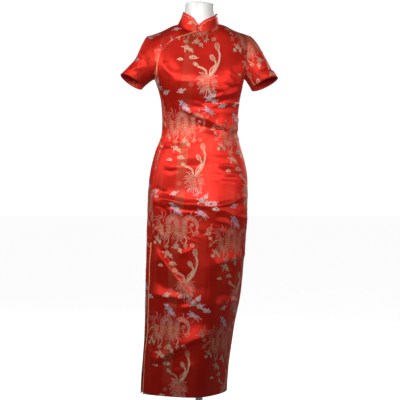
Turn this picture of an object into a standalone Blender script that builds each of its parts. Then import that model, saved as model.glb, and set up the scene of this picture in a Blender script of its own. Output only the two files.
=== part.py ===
"""Long cheongsam dress with short sleeves on a limbless dress form with a stand.

The script works in millimetres and hands Blender metres. +Z is up, the front of the dress faces -Y,
and the wearer's right is -X. The origin is the middle of the stand's underside.
"""

import math
from collections import namedtuple

import bmesh
import bpy
from mathutils import Matrix, Vector

MM = 0.001

# ---------------------------------------------------------------- driving sizes, in millimetres

CLOTH = 1.2            # wall of the satin brocade with its backing
COLLAR_CLOTH = 1.6     # the collar is stiffened
SEAM_GAP = 0.45        # half the air between two panels at a side or shoulder seam
ARMHOLE_GAP = 1.4      # air between a body panel and its sleeve
HEM = 122.0            # height of the skirt's hem
SLIT_TOP = 665.0       # height where both side slits begin
UNDERARM = 1195.0      # height where body and sleeve part
SHOULDER_POINT = 1352.0
NECK_FRONT = 1359.0    # neckline at the centre front
NECK_SIDE = 1393.0
NECK_BACK = 1386.0
NECK_CENTRE = -1.5     # the neckline sits a little to the wearer's right
NECK_HALF = 70.5
NECK_DEPTH = 61.0
NECK_ROLL = 84.0       # height over which the chest rolls back to the neckline
SHOULDER_ROLL = 52.0   # the same at the shoulder

PANEL_COLUMNS = 20
NECK_STEPS = 6         # columns over each quarter of the neckline
OPENING_COLUMNS = 9    # columns over the upper part of the curved opening
OPENING_BEND = 1289.0  # below this height the opening is the front panel's side edge
UPPER_ROWS = 12
SKIRT_ROWS = 42

# ---------------------------------------------------------------- the dress's horizontal sections
# right, left: the outline's reach to the wearer's right and left. front, back: depth from centre_y.
# squareness: 2 is an ellipse, more is boxier, less has a crease at front, back and sides.
# turn: degrees the whole section is turned. The slides shift a seam or the front crease
# round the section, in degrees, towards the wearer's left.

Section = namedtuple(
    "Section",
    "height right left centre_y front back squareness turn slide_right slide_front slide_left",
)
BODY = [
    Section(1360, -180, 179, 0, 82, 90, 2.6, 0, 0, 0, 0),
    Section(1310, -178, 177, 0, 92, 95, 2.6, 0, 0, 0, 0),
    Section(1285, -176, 176, 0, 100, 97, 2.6, 0, 0, 0, 0),
    Section(1250, -170, 171, 0, 110, 98, 2.6, 0, 0, 0, 0),
    Section(1220, -161, 163, 0, 119, 98, 2.5, 0, 0, 0, 0),
    Section(1195, -153, 155, 0, 124, 97, 2.4, 0, 2, 0, 0),
    Section(1150, -136, 145, 0, 120, 94, 2.3, 0, 12, 8, 6),
    Section(1112, -130, 138, 0, 106, 90, 2.2, 0, 24, 16, 12),
    Section(1045, -127.5, 134, 0, 92, 86, 2.1, 0, 32, 26, 20),
    Section(1010, -129, 135.5, 0, 90, 87, 2.1, 0, 33, 27, 22),
    Section(960, -150, 146.5, 0, 95, 99, 2.1, 0, 32, 25, 22),
    Section(918, -162, 158.5, 0, 99, 109, 2.1, 0, 31, 24, 20),
    Section(883, -169, 164.5, 0, 102, 116, 2.1, 0, 28, 23, 19),
    Section(813, -177, 166.5, 0, 106, 121, 2.1, 0, 27, 20, 18),
    Section(762, -178, 166.5, 0, 108, 118, 2.05, 2, 27, 17, 15),
    Section(665, -181, 162.5, 2, 110, 116, 1.9, 5, 24, 12, 10),
    Section(577, -183, 155.5, 5, 114, 115, 1.75, 8, 19, 7, 6),
    Section(455, -185, 141.5, 10, 120, 118, 1.6, 12, 15, 2, 2),
    Section(325, -188, 112.5, 15, 128, 125, 1.5, 15, 12, 0, 0),
    Section(HEM, -202, 90, 20, 138, 130, 1.45, 16, 10, 0, 0),
]

# Height of the shoulder seam over the distance from the middle of the neck.
SeamPoint = namedtuple("SeamPoint", "out height")
SHOULDER_LINE = [
    SeamPoint(NECK_HALF, NECK_SIDE),
    SeamPoint(93, 1387),
    SeamPoint(112, 1375),
    SeamPoint(140, 1363),
    SeamPoint(168, 1356),
    SeamPoint(177.5, SHOULDER_POINT),
]

# The armhole seam: how far out from the middle each edge runs.
Armhole = namedtuple("Armhole", "height right_front left_front right_back left_back")
ARMHOLE = [
    Armhole(1352, 179, 178, 179, 178),
    Armhole(1335, 165, 167, 170, 170),
    Armhole(1310, 155, 164, 164, 166),
    Armhole(1285, 151, 163, 160, 163),
    Armhole(1250, 151, 162, 157, 160),
    Armhole(1220, 152, 158, 154, 157),
    Armhole(1195, 152.9, 155, 152.9, 155),
]

# The curved opening from the centre of the neck to the wearer's right underarm.
OpeningPoint = namedtuple("OpeningPoint", "height across")
OPENING = [
    OpeningPoint(1359, -5),
    OpeningPoint(1352, -31),
    OpeningPoint(1344, -54),
    OpeningPoint(1337, -73),
    OpeningPoint(1327, -90),
    OpeningPoint(1309, -113),
    OpeningPoint(1289, -128),
    OpeningPoint(1271, -136),
    OpeningPoint(1245, -141),
    OpeningPoint(1215, -143.5),
    OpeningPoint(1203, -146.5),
    OpeningPoint(1195, -152.9),
]

# The largest folds: a soft ridge (rise above 0) or trough between two points seen from the front
# or the back. width is the ridge's half width.
Fold = namedtuple("Fold", "face across_a height_a across_b height_b rise width")
FOLDS = [
    Fold("front", 72, 1010, 66, 883, 4, 24),
    Fold("front", 66, 883, 48, 745, 5, 24),
    Fold("front", 48, 745, 24, 516, 4, 24),
    Fold("front", -158, 790, 47, 757, 7, 30),
    Fold("front", 47, 757, 160, 716, 6, 28),
    Fold("front", -150, 750, 40, 718, -4, 26),
    Fold("front", -165, 462, 5, 444, 6, 30),
    Fold("front", 5, 444, 110, 440, 5, 30),
    Fold("front", -152, 612, -30, 450, 4, 30),
    Fold("front", -175, 222, 5, 320, 6, 34),
    Fold("front", 25, 548, 130, 592, 5, 28),
    Fold("front", -90, 1118, 70, 1128, -4, 24),
    Fold("front", -95, 1070, 10, 1020, -4, 26),
    Fold("front", 40, 1000, 110, 1040, 4, 24),
    Fold("back", -150, 770, 150, 770, 6, 30),
    Fold("back", -150, 450, 60, 450, 6, 30),
    Fold("back", -90, 1040, 90, 1050, -4, 28),
    Fold("back", -100, 990, 80, 975, -3, 26),
    Fold("back", -130, 300, 10, 210, 5, 34),
]

# How far the slit edges part below the slit's top, measured round the hem.
SLIT_OPENING = {"right": 14.0, "left": 34.0}
SLIT_START_GAP = 4.6

# ---------------------------------------------------------------- small helpers


def interpolated(rows, key, value):
    """The table's columns at this key: a cubic between rows that never overshoots them."""
    rows = sorted(rows, key=lambda row: getattr(row, key))
    places = [getattr(row, key) for row in rows]
    value = min(max(value, places[0]), places[-1])
    i = max(j for j in range(len(rows) - 1) if places[j] <= value)
    step = places[i + 1] - places[i]
    t = (value - places[i]) / step

    def slope(column, j):
        if j == 0 or j == len(rows) - 1:
            return 0.0
        before = (column[j] - column[j - 1]) / (places[j] - places[j - 1])
        after = (column[j + 1] - column[j]) / (places[j + 1] - places[j])
        return 2 * before * after / (before + after) if before * after > 0 else 0.0

    found = {}
    for name in rows[0]._fields:
        column = [getattr(row, name) for row in rows]
        if name == key or isinstance(column[0], str):
            continue
        found[name] = (
            (2 * t**3 - 3 * t**2 + 1) * column[i]
            + (t**3 - 2 * t**2 + t) * step * slope(column, i)
            + (3 * t**2 - 2 * t**3) * column[i + 1]
            + (t**3 - t**2) * step * slope(column, i + 1)
        )
    return found


def signed_power(value, exponent):
    return math.copysign(abs(value) ** exponent, value)


def mix(a, b, share):
    return a + (b - a) * share


_sections = {}


def section_at(height):
    """The section's columns at a height, with the stretch that fits it to its outline."""
    key = round(height, 3)
    if key not in _sections:
        row = interpolated(BODY, "height", height)
        corners = [turned_superellipse(row, math.radians(step * 3)) for step in range(120)]
        row["low"] = min(point[0] for point in corners)
        row["high"] = max(point[0] for point in corners)
        _sections[key] = row
    return _sections[key]


def turned_superellipse(row, angle):
    half = (row["left"] - row["right"]) / 2
    depth = row["front"] if math.sin(angle) < 0 else row["back"]
    exponent = 2 / row["squareness"]
    x = half * signed_power(math.cos(angle), exponent)
    y = depth * signed_power(math.sin(angle), exponent)
    turn = math.radians(row["turn"])
    return (
        x * math.cos(turn) - y * math.sin(turn),
        x * math.sin(turn) + y * math.cos(turn),
    )


def section_point(height, degrees):
    """A point of the dress's outer face. -90 degrees is the front crease before its slide."""
    row = section_at(height)
    x, y = turned_superellipse(row, math.radians(degrees))
    share = (x - row["low"]) / (row["high"] - row["low"])
    return Vector((mix(row["right"], row["left"], share), row["centre_y"] + y, height))


def section_normal(height, degrees):
    """The outward direction, level, at that point."""
    along = section_point(height, degrees + 2) - section_point(height, degrees - 2)
    return Vector((along.y, -along.x, 0)).normalized()


def neck_share(across):
    """0 at the middle of the neck, 1 at its side and beyond."""
    return min(1.0, abs(across - NECK_CENTRE) / NECK_HALF)


def top_height(across, face):
    """Height of the neckline or the shoulder seam at this distance across."""
    share = neck_share(across)
    if share < 1:
        middle = NECK_FRONT if face == "front" else NECK_BACK
        return mix(middle, NECK_SIDE, share**2.2)
    return interpolated(SHOULDER_LINE, "out", abs(across - NECK_CENTRE))["height"]


def bodice_point(across, height, face):
    """A point above the underarm: the chest or back, rolled over to the shoulder and the neck."""
    row = section_at(height)
    sign = -1 if face == "front" else 1
    depth = row["front"] if face == "front" else row["back"]
    middle = (row["right"] + row["left"]) / 2
    out = min(1.0, abs(across - middle) / ((row["left"] - row["right"]) / 2))
    chest = sign * depth * (1 - out ** row["squareness"]) ** (1 / row["squareness"])
    share = neck_share(across)
    neck = sign * NECK_DEPTH * math.sqrt(1 - share**2)
    outer = share * share * (3 - 2 * share)
    roll = mix(NECK_ROLL, SHOULDER_ROLL, outer)
    drop = min(1.0, max(0.0, top_height(across, face) - height) / roll)
    rolled = (1 - (1 - drop) ** 2) ** mix(0.9, 0.5, outer)
    return Vector((across, mix(neck, chest, rolled) + sign * SEAM_GAP, height))


def fold_rise(face, across, height):
    """How far the highest ridge and the deepest trough move the cloth out here."""
    ridge, trough = 0.0, 0.0
    for fold in FOLDS:
        if fold.face != face:
            continue
        dx, dz = fold.across_b - fold.across_a, fold.height_b - fold.height_a
        length = math.hypot(dx, dz)
        along = ((across - fold.across_a) * dx + (height - fold.height_a) * dz) / length
        off = abs((across - fold.across_a) * dz - (height - fold.height_a) * dx) / length
        beyond = max(0.0, -along, along - length)
        reach = math.hypot(off, beyond) / fold.width
        if reach < 1:
            rise = fold.rise * (1 - reach) ** 1.4
            ridge, trough = max(ridge, rise), min(trough, rise)
    return ridge + trough


def armhole_across(height, side, face):
    out = interpolated(ARMHOLE, "height", height)[f"{side}_{face}"]
    return -out if side == "right" else out


def upper_levels(count):
    """0 at the underarm to 1 at the top, closer together near the top."""
    return [1 - (1 - k / count) ** 2 for k in range(count + 1)]


def armhole_heights():
    rise = SHOULDER_POINT - UNDERARM
    return [UNDERARM + rise * level for level in upper_levels(UPPER_ROWS)]


def skirt_heights():
    return [mix(UNDERARM, HEM, k / SKIRT_ROWS) for k in range(SKIRT_ROWS + 1)]


def slit_gap(height, side):
    """Half the air between the front and back panel's edges, measured along the section."""
    if height >= SLIT_TOP:
        return SEAM_GAP
    open_share = (SLIT_TOP - height) / (SLIT_TOP - HEM)
    start = min(1.0, (SLIT_TOP - height) / 30.0)
    return mix(SEAM_GAP, SLIT_START_GAP / 2, start) + SLIT_OPENING[side] / 2 * open_share


# ---------------------------------------------------------------- making Blender objects


def new_collection(name):
    collection = bpy.data.collections.new(name)
    bpy.context.scene.collection.children.link(collection)
    return collection


def satin(name, colour, roughness, metallic=0.0):
    material = bpy.data.materials.new(name)
    material.use_nodes = True
    shader = material.node_tree.nodes["Principled BSDF"]
    shader.inputs["Base Color"].default_value = (*colour, 1.0)
    shader.inputs["Roughness"].default_value = roughness
    shader.inputs["Metallic"].default_value = metallic
    return material


def add_object(name, data, material, collection):
    thing = bpy.data.objects.new(name, data)
    data.materials.append(material)
    collection.objects.link(thing)
    return thing


def loft(name, rings, material, collection, closed=False, capped=False):
    """An open sheet through rows of points given in millimetres, facing along row x column."""
    shape = bmesh.new()
    rows = [[shape.verts.new(point * MM) for point in ring] for ring in rings]
    columns = len(rows[0])
    for upper, lower in zip(rows, rows[1:]):
        for i in range(columns if closed else columns - 1):
            j = (i + 1) % columns
            shape.faces.new((upper[i], lower[i], lower[j], upper[j]))
    if capped:
        shape.faces.new(rows[0])
        shape.faces.new(list(reversed(rows[-1])))
    mesh = bpy.data.meshes.new(name)
    shape.to_mesh(mesh)
    shape.free()
    mesh.shade_smooth()
    return add_object(name, mesh, material, collection)


def cloth(name, rings, material, collection, closed=False, thickness=CLOTH):
    """A cloth wall whose outer face runs through the points."""
    thing = loft(name, rings, material, collection, closed)
    wall = thing.modifiers.new("Wall", "SOLIDIFY")
    wall.thickness = thickness * MM
    wall.offset = -1
    return thing


def cord(name, points, radius, material, collection, sides=6, closed=False):
    """A round cord of even thickness along points given in millimetres."""
    curve = bpy.data.curves.new(name, "CURVE")
    curve.dimensions = "3D"
    curve.bevel_depth = radius * MM
    curve.bevel_resolution = (sides - 4) // 2
    curve.use_fill_caps = not closed
    spline = curve.splines.new("POLY")
    spline.points.add(len(points) - 1)
    for target, point in zip(spline.points, points):
        target.co = (*(point * MM), 1.0)
    spline.use_cyclic_u = closed
    return add_object(name, curve, material, collection)


def turned(name, profile, steps, material, collection):
    """A turned piece: (radius, height) points from the top down its outer side."""
    mesh = bpy.data.meshes.new(name)
    points = [(radius * MM, 0, height * MM) for radius, height in profile]
    edges = [(i, i + 1) for i in range(len(points) - 1)]
    mesh.from_pydata(points, edges, [])
    thing = add_object(name, mesh, material, collection)
    screw = thing.modifiers.new("Turned", "SCREW")
    screw.steps = screw.render_steps = steps
    screw.use_merge_vertices = True
    screw.merge_threshold = 0.00001
    screw.use_smooth_shade = True
    return thing


def resampled_to(points, number):
    """This many points, evenly spaced along a polyline."""
    lengths = [0.0]
    for a, b in zip(points, points[1:]):
        lengths.append(lengths[-1] + (b - a).length)
    found, i = [], 0
    for k in range(number):
        want = lengths[-1] * k / (number - 1)
        while i < len(points) - 2 and lengths[i + 1] < want:
            i += 1
        share = (want - lengths[i]) / max(lengths[i + 1] - lengths[i], 1e-9)
        found.append(points[i].lerp(points[i + 1], min(1.0, share)))
    return found


# ---------------------------------------------------------------- the body panels


def front_angle(row, u):
    """The section's angle at a share u across the front, through its three seams and creases."""
    right = -180 + row["slide_right"]
    middle = -90 + row["slide_front"]
    left = row["slide_left"]
    return (
        right * (1 - u) * (1 - 2 * u) + 4 * middle * u * (1 - u) + left * u * (2 * u - 1)
    )


def back_angle(row, u):
    """The same for the back, from the wearer's left seam to the right one."""
    left = row["slide_left"]
    middle = 90 + (row["slide_right"] + row["slide_left"]) / 2
    right = 180 + row["slide_right"]
    return (
        left * (1 - u) * (1 - 2 * u) + 4 * middle * u * (1 - u) + right * u * (2 * u - 1)
    )


def edge_fade(u):
    """0 at a panel's side edges and 1 over most of it."""
    return 1 - abs(2 * u - 1) ** 6


def panel_row(height, face, columns):
    """One level row of a panel below the underarm, with its folds and its slit edges."""
    row = section_at(height)
    angle_of = front_angle if face == "front" else back_angle
    first, last = ("right", "left") if face == "front" else ("left", "right")
    radius = (row["left"] - row["right"]) / 2
    start = math.degrees(slit_gap(height, first) / radius)
    end = math.degrees(slit_gap(height, last) / radius)
    points = []
    for i in range(columns + 1):
        u = i / columns
        angle = angle_of(row, u) + start * (1 - u) ** 4 - end * u**4
        point = section_point(height, angle)
        rise = fold_rise(face, point.x, height) * edge_fade(u)
        points.append(point + section_normal(height, angle) * rise)
    return points


def skirt_rows(face, columns):
    return [panel_row(height, face, columns) for height in skirt_heights()]


def quarter_neck(sign):
    """Places across from the middle of the neck to its side, evenly round the neckline."""
    step = math.pi / 2 / NECK_STEPS
    return [NECK_CENTRE + sign * NECK_HALF * math.sin(step * k) for k in range(NECK_STEPS + 1)]


def places_between(start, end, count):
    return [mix(start, end, k / count) for k in range(1, count + 1)]


def upper_rows(face, top, first_edge, last_edge):
    """Rows from the top edge's places down to just above the underarm. Each edge gives a place."""
    foot = [Vector((point.x, 0, point.z)) for point in panel_row(UNDERARM, face, PANEL_COLUMNS)]
    rows = []
    for level in reversed(upper_levels(UPPER_ROWS)[1:]):
        first_bend = first_edge(level) - foot[0].lerp(top[0], level)
        last_bend = last_edge(level) - foot[-1].lerp(top[-1], level)
        row = []
        for k, (low, high) in enumerate(zip(foot, top)):
            place = low.lerp(high, level) + first_bend.lerp(last_bend, k / PANEL_COLUMNS)
            row.append(bodice_point(place.x, place.z, face))
        rows.append(row)
    return rows


def grid_normals(rows):
    """The outward direction at each point of a grid, from its neighbours."""
    found = []
    for i, row in enumerate(rows):
        above, below = rows[max(i - 1, 0)], rows[min(i + 1, len(rows) - 1)]
        line = []
        for j in range(len(row)):
            down = below[j] - above[j]
            across = row[min(j + 1, len(row) - 1)] - row[max(j - 1, 0)]
            line.append(down.cross(across).normalized())
        found.append(line)
    return found


def armhole_edge(side, face):
    def place(level):
        height = mix(UNDERARM, SHOULDER_POINT, level)
        return Vector((armhole_across(height, side, face), 0, height))

    return place


def opening_place(height):
    """A place on the front panel's curved edge, as seen from the front."""
    return Vector((interpolated(OPENING, "height", height)["across"], 0, height))


def opening_lower_edge(level):
    return opening_place(mix(UNDERARM, OPENING_BEND, level))


def shoulder_and_neck(places, face):
    return [Vector((across, 0, top_height(across, face))) for across in places]


def make_panels(material, collection):
    left_tip = armhole_across(SHOULDER_POINT, "left", "front")
    right_tip = armhole_across(SHOULDER_POINT, "right", "front")
    left_neck, right_neck = quarter_neck(1), quarter_neck(-1)
    curve = [opening_place(mix(OPENING_BEND, NECK_FRONT, k / 60)) for k in range(61)]
    front_top = resampled_to(curve, OPENING_COLUMNS + 1)
    shoulder = PANEL_COLUMNS - OPENING_COLUMNS - NECK_STEPS
    places = left_neck[1:] + places_between(left_neck[-1], left_tip, shoulder)
    front_top += shoulder_and_neck(places, "front")
    front = upper_rows("front", front_top, opening_lower_edge, armhole_edge("left", "front"))
    front += skirt_rows("front", PANEL_COLUMNS)
    cloth("front_panel", front, material, collection)
    shoulder = (PANEL_COLUMNS - 2 * NECK_STEPS) // 2
    places = places_between(left_neck[-1], left_tip, shoulder)[::-1] + left_neck[:0:-1]
    places += right_neck + places_between(right_neck[-1], right_tip, shoulder)
    back_top = shoulder_and_neck(places, "back")
    left_edge, right_edge = armhole_edge("left", "back"), armhole_edge("right", "back")
    back = upper_rows("back", back_top, left_edge, right_edge)
    back += skirt_rows("back", PANEL_COLUMNS)
    cloth("back_panel", back, material, collection)
    return front


# ---------------------------------------------------------------- the flap under the opening

FLAP_UNDERLAP = 10.0   # how far the flap runs on under the front panel
FLAP_DEPTH = 2.8       # how far it lies below the front panel there
FLAP_COLUMNS = 5
FLAP_TIP = -11.0       # where the flap begins at the neckline
FLAP_HEAD = 1356.8     # the same on the opening
FLAP_FOOT = 1218.0     # where the flap's tail ends


def flap_outline():
    """The flap's outer edge along the neckline, the shoulder and the armhole."""
    side = NECK_CENTRE - NECK_HALF
    tip = armhole_across(SHOULDER_POINT, "right", "front")
    places = [FLAP_TIP] + places_between(FLAP_TIP, side, 5) + places_between(side, tip, 5)
    outer = shoulder_and_neck(places, "front")
    for height in reversed(armhole_heights()[:-1]):
        if height > FLAP_FOOT:
            outer.append(Vector((armhole_across(height, "right", "front"), 0, height)))
    return outer


def make_flap(material, collection):
    """The small right piece, from the curved opening to the neck, shoulder and armhole."""
    outer = flap_outline()
    curve = [opening_place(mix(FLAP_HEAD, FLAP_FOOT, k / 60)) for k in range(61)]
    inner = resampled_to(curve, len(outer))
    rows, sinks = [], []
    for i, edge in enumerate(outer):
        ahead = inner[min(i + 1, len(inner) - 1)] - inner[max(i - 1, 0)]
        under = inner[i] + Vector((-ahead.z, 0, ahead.x)).normalized() * FLAP_UNDERLAP
        places = [under] + [inner[i].lerp(edge, k / FLAP_COLUMNS) for k in range(FLAP_COLUMNS + 1)]
        row = []
        for place in places:
            height = min(place.z, top_height(place.x, "front"))
            row.append(bodice_point(place.x, height, "front"))
        rows.append(row[::-1])
        sinks = [k / FLAP_COLUMNS for k in range(FLAP_COLUMNS + 1)] + [1.0]
    normals = grid_normals(rows)
    for row, line in zip(rows, normals):
        for j, sink in enumerate(sinks):
            row[j] = row[j] - line[j] * FLAP_DEPTH * sink
    cloth("under_flap", rows, material, collection)


# ---------------------------------------------------------------- the sleeves

# The cuff is an oval: outer is its point away from the body, inner the one by the underarm.
# front_half runs from its middle to its front edge. waist is how far the sleeve's upper line
# sags inside the straight line from shoulder to cuff.
Cuff = namedtuple("Cuff", "outer inner front_half waist")
CUFFS = {
    "right": Cuff(Vector((-271, 0, 1215)), Vector((-195, 0, 1173)), Vector((-3, -60, 13)), 12),
    "left": Cuff(Vector((273, 0, 1205)), Vector((181, 0, 1167)), Vector((4, -60, 12)), 0),
}
SLEEVE_ROWS = 8
CAP_PUFF = 5.0         # how far the cap rounds out just below the armhole seam


def make_sleeve(side, material, collection):
    cuff = CUFFS[side]
    sign = -1 if side == "right" else 1
    halves = []
    for face in ("front", "back"):
        places = [armhole_edge(side, face)(level) for level in upper_levels(UPPER_ROWS)]
        halves.append([bodice_point(place.x, place.z, face) for place in places])
    front, back = halves
    front[0] = front[0].lerp(back[0], 0.5)
    front[-1] = front[-1].lerp(back[-1], 0.5)
    armhole = front[::-1] + back[1:-1]
    armhole = [point + Vector((sign * ARMHOLE_GAP, 0, 0)) for point in armhole]
    middle, reach = (cuff.outer + cuff.inner) / 2, (cuff.outer - cuff.inner) / 2
    turns = [math.pi * i / UPPER_ROWS for i in range(2 * UPPER_ROWS)]
    hem = [middle + reach * math.cos(a) + cuff.front_half * math.sin(a) for a in turns]
    rings = []
    for k in range(SLEEVE_ROWS + 1):
        share = k / SLEEVE_ROWS
        ring = []
        for start, end, turn in zip(armhole, hem, turns):
            point = start.lerp(end, share)
            top = max(0.0, math.cos(turn))
            lift = CAP_PUFF * math.sin(math.pi * min(1.0, share * 2.2)) * top
            sag = cuff.waist * math.sin(math.pi * share) * top
            side_puff = CAP_PUFF * math.sin(math.pi * share) * abs(math.sin(turn))
            outward = Vector((sign, 0, 0.7)).normalized()
            face = Vector((0, -math.copysign(1, math.sin(turn)), 0))
            ring.append(point + outward * (lift - sag) + face * side_puff)
        rings.append(ring if side == "right" else [ring[0]] + ring[:0:-1])
    cloth(f"sleeve_{side}", rings, material, collection, closed=True)


# ---------------------------------------------------------------- piping beside a rim

PIPING = 1.5           # radius of the cord
PIPING_OFF = 0.4       # air between the cord and the cloth's rim


def beside_rim(edge, inside, normals, raised):
    """A cord's path just off a rim. inside gives the next points in, raised the height off it."""
    path = []
    for i, point in enumerate(edge):
        ahead = edge[min(i + 1, len(edge) - 1)] - edge[max(i - 1, 0)]
        outward = ahead.cross(normals[i]).normalized()
        if outward.dot(inside[i] - point) > 0:
            outward.negate()
        path.append(point + outward * (PIPING + PIPING_OFF) + normals[i] * raised)
    return path


# ---------------------------------------------------------------- the stand collar

# Heights of the collar's top edge, by degrees round the neck from the centre front.
CollarTop = namedtuple("CollarTop", "turn right left")
COLLAR_TOP = [
    CollarTop(0, 1381, 1381),
    CollarTop(10, 1391, 1393),
    CollarTop(22, 1408, 1401),
    CollarTop(45, 1421, 1411),
    CollarTop(90, 1433, 1426),
    CollarTop(135, 1437, 1433),
    CollarTop(180, 1438, 1438),
]
COLLAR_BRIM = 1434.0   # the height where the collar's ring is as narrow as below
COLLAR_RING = namedtuple("Ring", "centre half front back")(4.0, 59.0, 54.0, 53.0)
COLLAR_LIFT = 0.9      # air between the neckline and the collar
COLLAR_ROWS = 4
COLLAR_PARTING = 0.7   # degrees from the centre front to each end
COLLAR_TURNS = [COLLAR_PARTING, 5, 10, 15, 22] + list(range(30, 181, 15))


def collar_point(turn, share):
    """turn: degrees from the centre front, positive to the wearer's left. share: 0 base, 1 top."""
    side = "left" if turn > 0 else "right"
    top = interpolated(COLLAR_TOP, "turn", abs(turn))[side]
    sine, cosine = math.sin(math.radians(turn)), math.cos(math.radians(turn))
    across = NECK_CENTRE + NECK_HALF * sine
    base = top_height(across, "front" if cosine > 0 else "back")
    low = Vector((across, -NECK_DEPTH * cosine, base + COLLAR_LIFT))
    depth = COLLAR_RING.front if cosine > 0 else COLLAR_RING.back
    high = Vector((COLLAR_RING.centre + COLLAR_RING.half * sine, -depth * cosine, COLLAR_BRIM))
    height = mix(low.z, top, share)
    return low.lerp(high, (height - low.z) / (high.z - low.z))


def make_collar(cloth_material, piping_material, collection):
    """From the wearer's left end round the back to the right end, and the cord on its edge."""
    turns = COLLAR_TURNS + [-turn for turn in COLLAR_TURNS[-2::-1]]
    rings = []
    for k in range(COLLAR_ROWS, -1, -1):
        rings.append([collar_point(turn, k / COLLAR_ROWS) for turn in turns])
    cloth("collar", rings, cloth_material, collection, thickness=COLLAR_CLOTH)
    path = beside_rim(rings[0], rings[1], grid_normals(rings)[0], -COLLAR_CLOTH / 2)
    cord("collar_piping", path, PIPING, piping_material, collection)


# ---------------------------------------------------------------- piping on the opening and slits


SLIT_CORD_DROP = 25.0  # the cord starts this far below the slit's top
OPENING_RAISE = 0.5    # the cord's middle stands this far above the front panel's face


def make_opening_piping(front, material, collection):
    """A cord along the front panel's curved edge, standing just off its rim."""
    normals = grid_normals(front[: UPPER_ROWS + 1])
    side = [(i, 0) for i in range(UPPER_ROWS, 0, -1)]
    top = [(0, j) for j in range(OPENING_COLUMNS + 1)]
    edge = [front[i][j] for i, j in side + top]
    inside = [front[i][1] for i, j in side] + [front[1][j + 1] for i, j in top]
    path = beside_rim(edge, inside, [normals[i][j] for i, j in side + top], OPENING_RAISE)
    cord("opening_piping", path[1:-1], PIPING, material, collection)


def make_slit_piping(side, front, material, collection):
    """A cord down the front panel's slit edge, from below the slit's top to just above the hem."""
    column, inner = (0, 1) if side == "right" else (-1, -2)
    normals = grid_normals(front)
    rows = [i for i, row in enumerate(front) if row[0].z < SLIT_TOP - SLIT_CORD_DROP]
    edge = [front[i][column] for i in rows]
    inside = [front[i][inner] for i in rows]
    path = beside_rim(edge, inside, [normals[i][column] for i in rows], -CLOTH / 2)
    cord(f"slit_piping_{side}", path, PIPING, material, collection)


# ---------------------------------------------------------------- knot buttons

KNOT = 4.8             # radius of the ball knot
LOOP_CORD = 1.3        # radius of the rolled satin cord
STRAND = 1.6           # half the distance between a doubled cord's middles
CORD_LIFT = 0.35       # air between a cord and the cloth below it
PIPING_CROSS = 2.3     # how much higher a cord lies where it crosses the opening's piping

# place across and height of the knot, the lengths of its loop and tail beyond it (the collar's
# loop is hidden in its seam), the direction from loop to tail in degrees from level, and how
# much deeper the cloth lies on the loop's side.
Closure = namedtuple("Closure", "name across height loop tail direction loop_depth")
CLOSURES = [
    Closure("collar", -5.5, 1376.5, 0.0, 19.0, -88.0, 0.0),
    Closure("opening", -86.0, 1332.0, 8.0, 8.0, -42.0, 1.6),
]


def dress_front(across, height):
    """The outer face of the collar's front or of the chest below it."""
    share = (height - NECK_FRONT - COLLAR_LIFT) / (COLLAR_BRIM - NECK_FRONT - COLLAR_LIFT)
    if share < 0:
        return bodice_point(across, height, "front")
    out = (across - mix(NECK_CENTRE, COLLAR_RING.centre, share)) / mix(
        NECK_HALF, COLLAR_RING.half, share
    )
    depth = mix(NECK_DEPTH, COLLAR_RING.front, share)
    return Vector((across, -depth * math.sqrt(1 - out**2), height))


def lifted_front(closure, along, aside, lift):
    """A point that far off the dress's front, in the closure's own directions."""
    turn = math.radians(closure.direction)
    across = closure.across + along * math.cos(turn) - aside * math.sin(turn)
    height = closure.height + along * math.sin(turn) + aside * math.cos(turn)
    place = dress_front(across, height)
    beside = dress_front(across + 1, height) - dress_front(across - 1, height)
    above = dress_front(across, height + 1) - dress_front(across, height - 1)
    outward = beside.cross(above).normalized()
    return place + outward * lift


def make_hairpin(closure, name, start, end, material, collection):
    """A doubled cord on the cloth: two strands and a round end."""
    reach = abs(end - start)
    sign = math.copysign(1, end)
    steps = [(0.0, STRAND), (reach * 0.4, STRAND), (reach - STRAND, STRAND)]
    steps += [(reach, 0.0)]
    steps += [(along, -aside) for along, aside in reversed(steps[:-1])]
    path = []
    for along, aside in steps:
        place = start + sign * along
        near = max(0.0, 1 - abs(place) / (2.6 * KNOT))
        lift = LOOP_CORD + CORD_LIFT + PIPING_CROSS * near
        if place < 0:
            lift -= closure.loop_depth * (1 - near)
        path.append(lifted_front(closure, place, aside, lift))
    cord(f"{closure.name}_{name}", path, LOOP_CORD, material, collection)


def make_closure(closure, material, collection):
    """A ball knot, the loop that holds it and the tail that it ends in, on both sides of a seam."""
    middle = lifted_front(closure, 0, 0, KNOT + PIPING_CROSS)
    bpy.ops.mesh.primitive_uv_sphere_add(segments=12, ring_count=8, radius=KNOT * MM)
    ball = bpy.context.object
    ball.name = f"{closure.name}_knot"
    ball.data.materials.append(material)
    ball.data.shade_smooth()
    ball.location = middle * MM
    for other in list(ball.users_collection):
        other.objects.unlink(ball)
    collection.objects.link(ball)
    clear = KNOT + LOOP_CORD
    if closure.loop > 0:
        make_hairpin(closure, "loop", -clear, -clear - closure.loop, material, collection)
    make_hairpin(closure, "tail", clear, clear + closure.tail, material, collection)


def make_closures(material, collection):
    for closure in CLOSURES:
        make_closure(closure, material, collection)


# ---------------------------------------------------------------- the dress form and its stand

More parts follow.
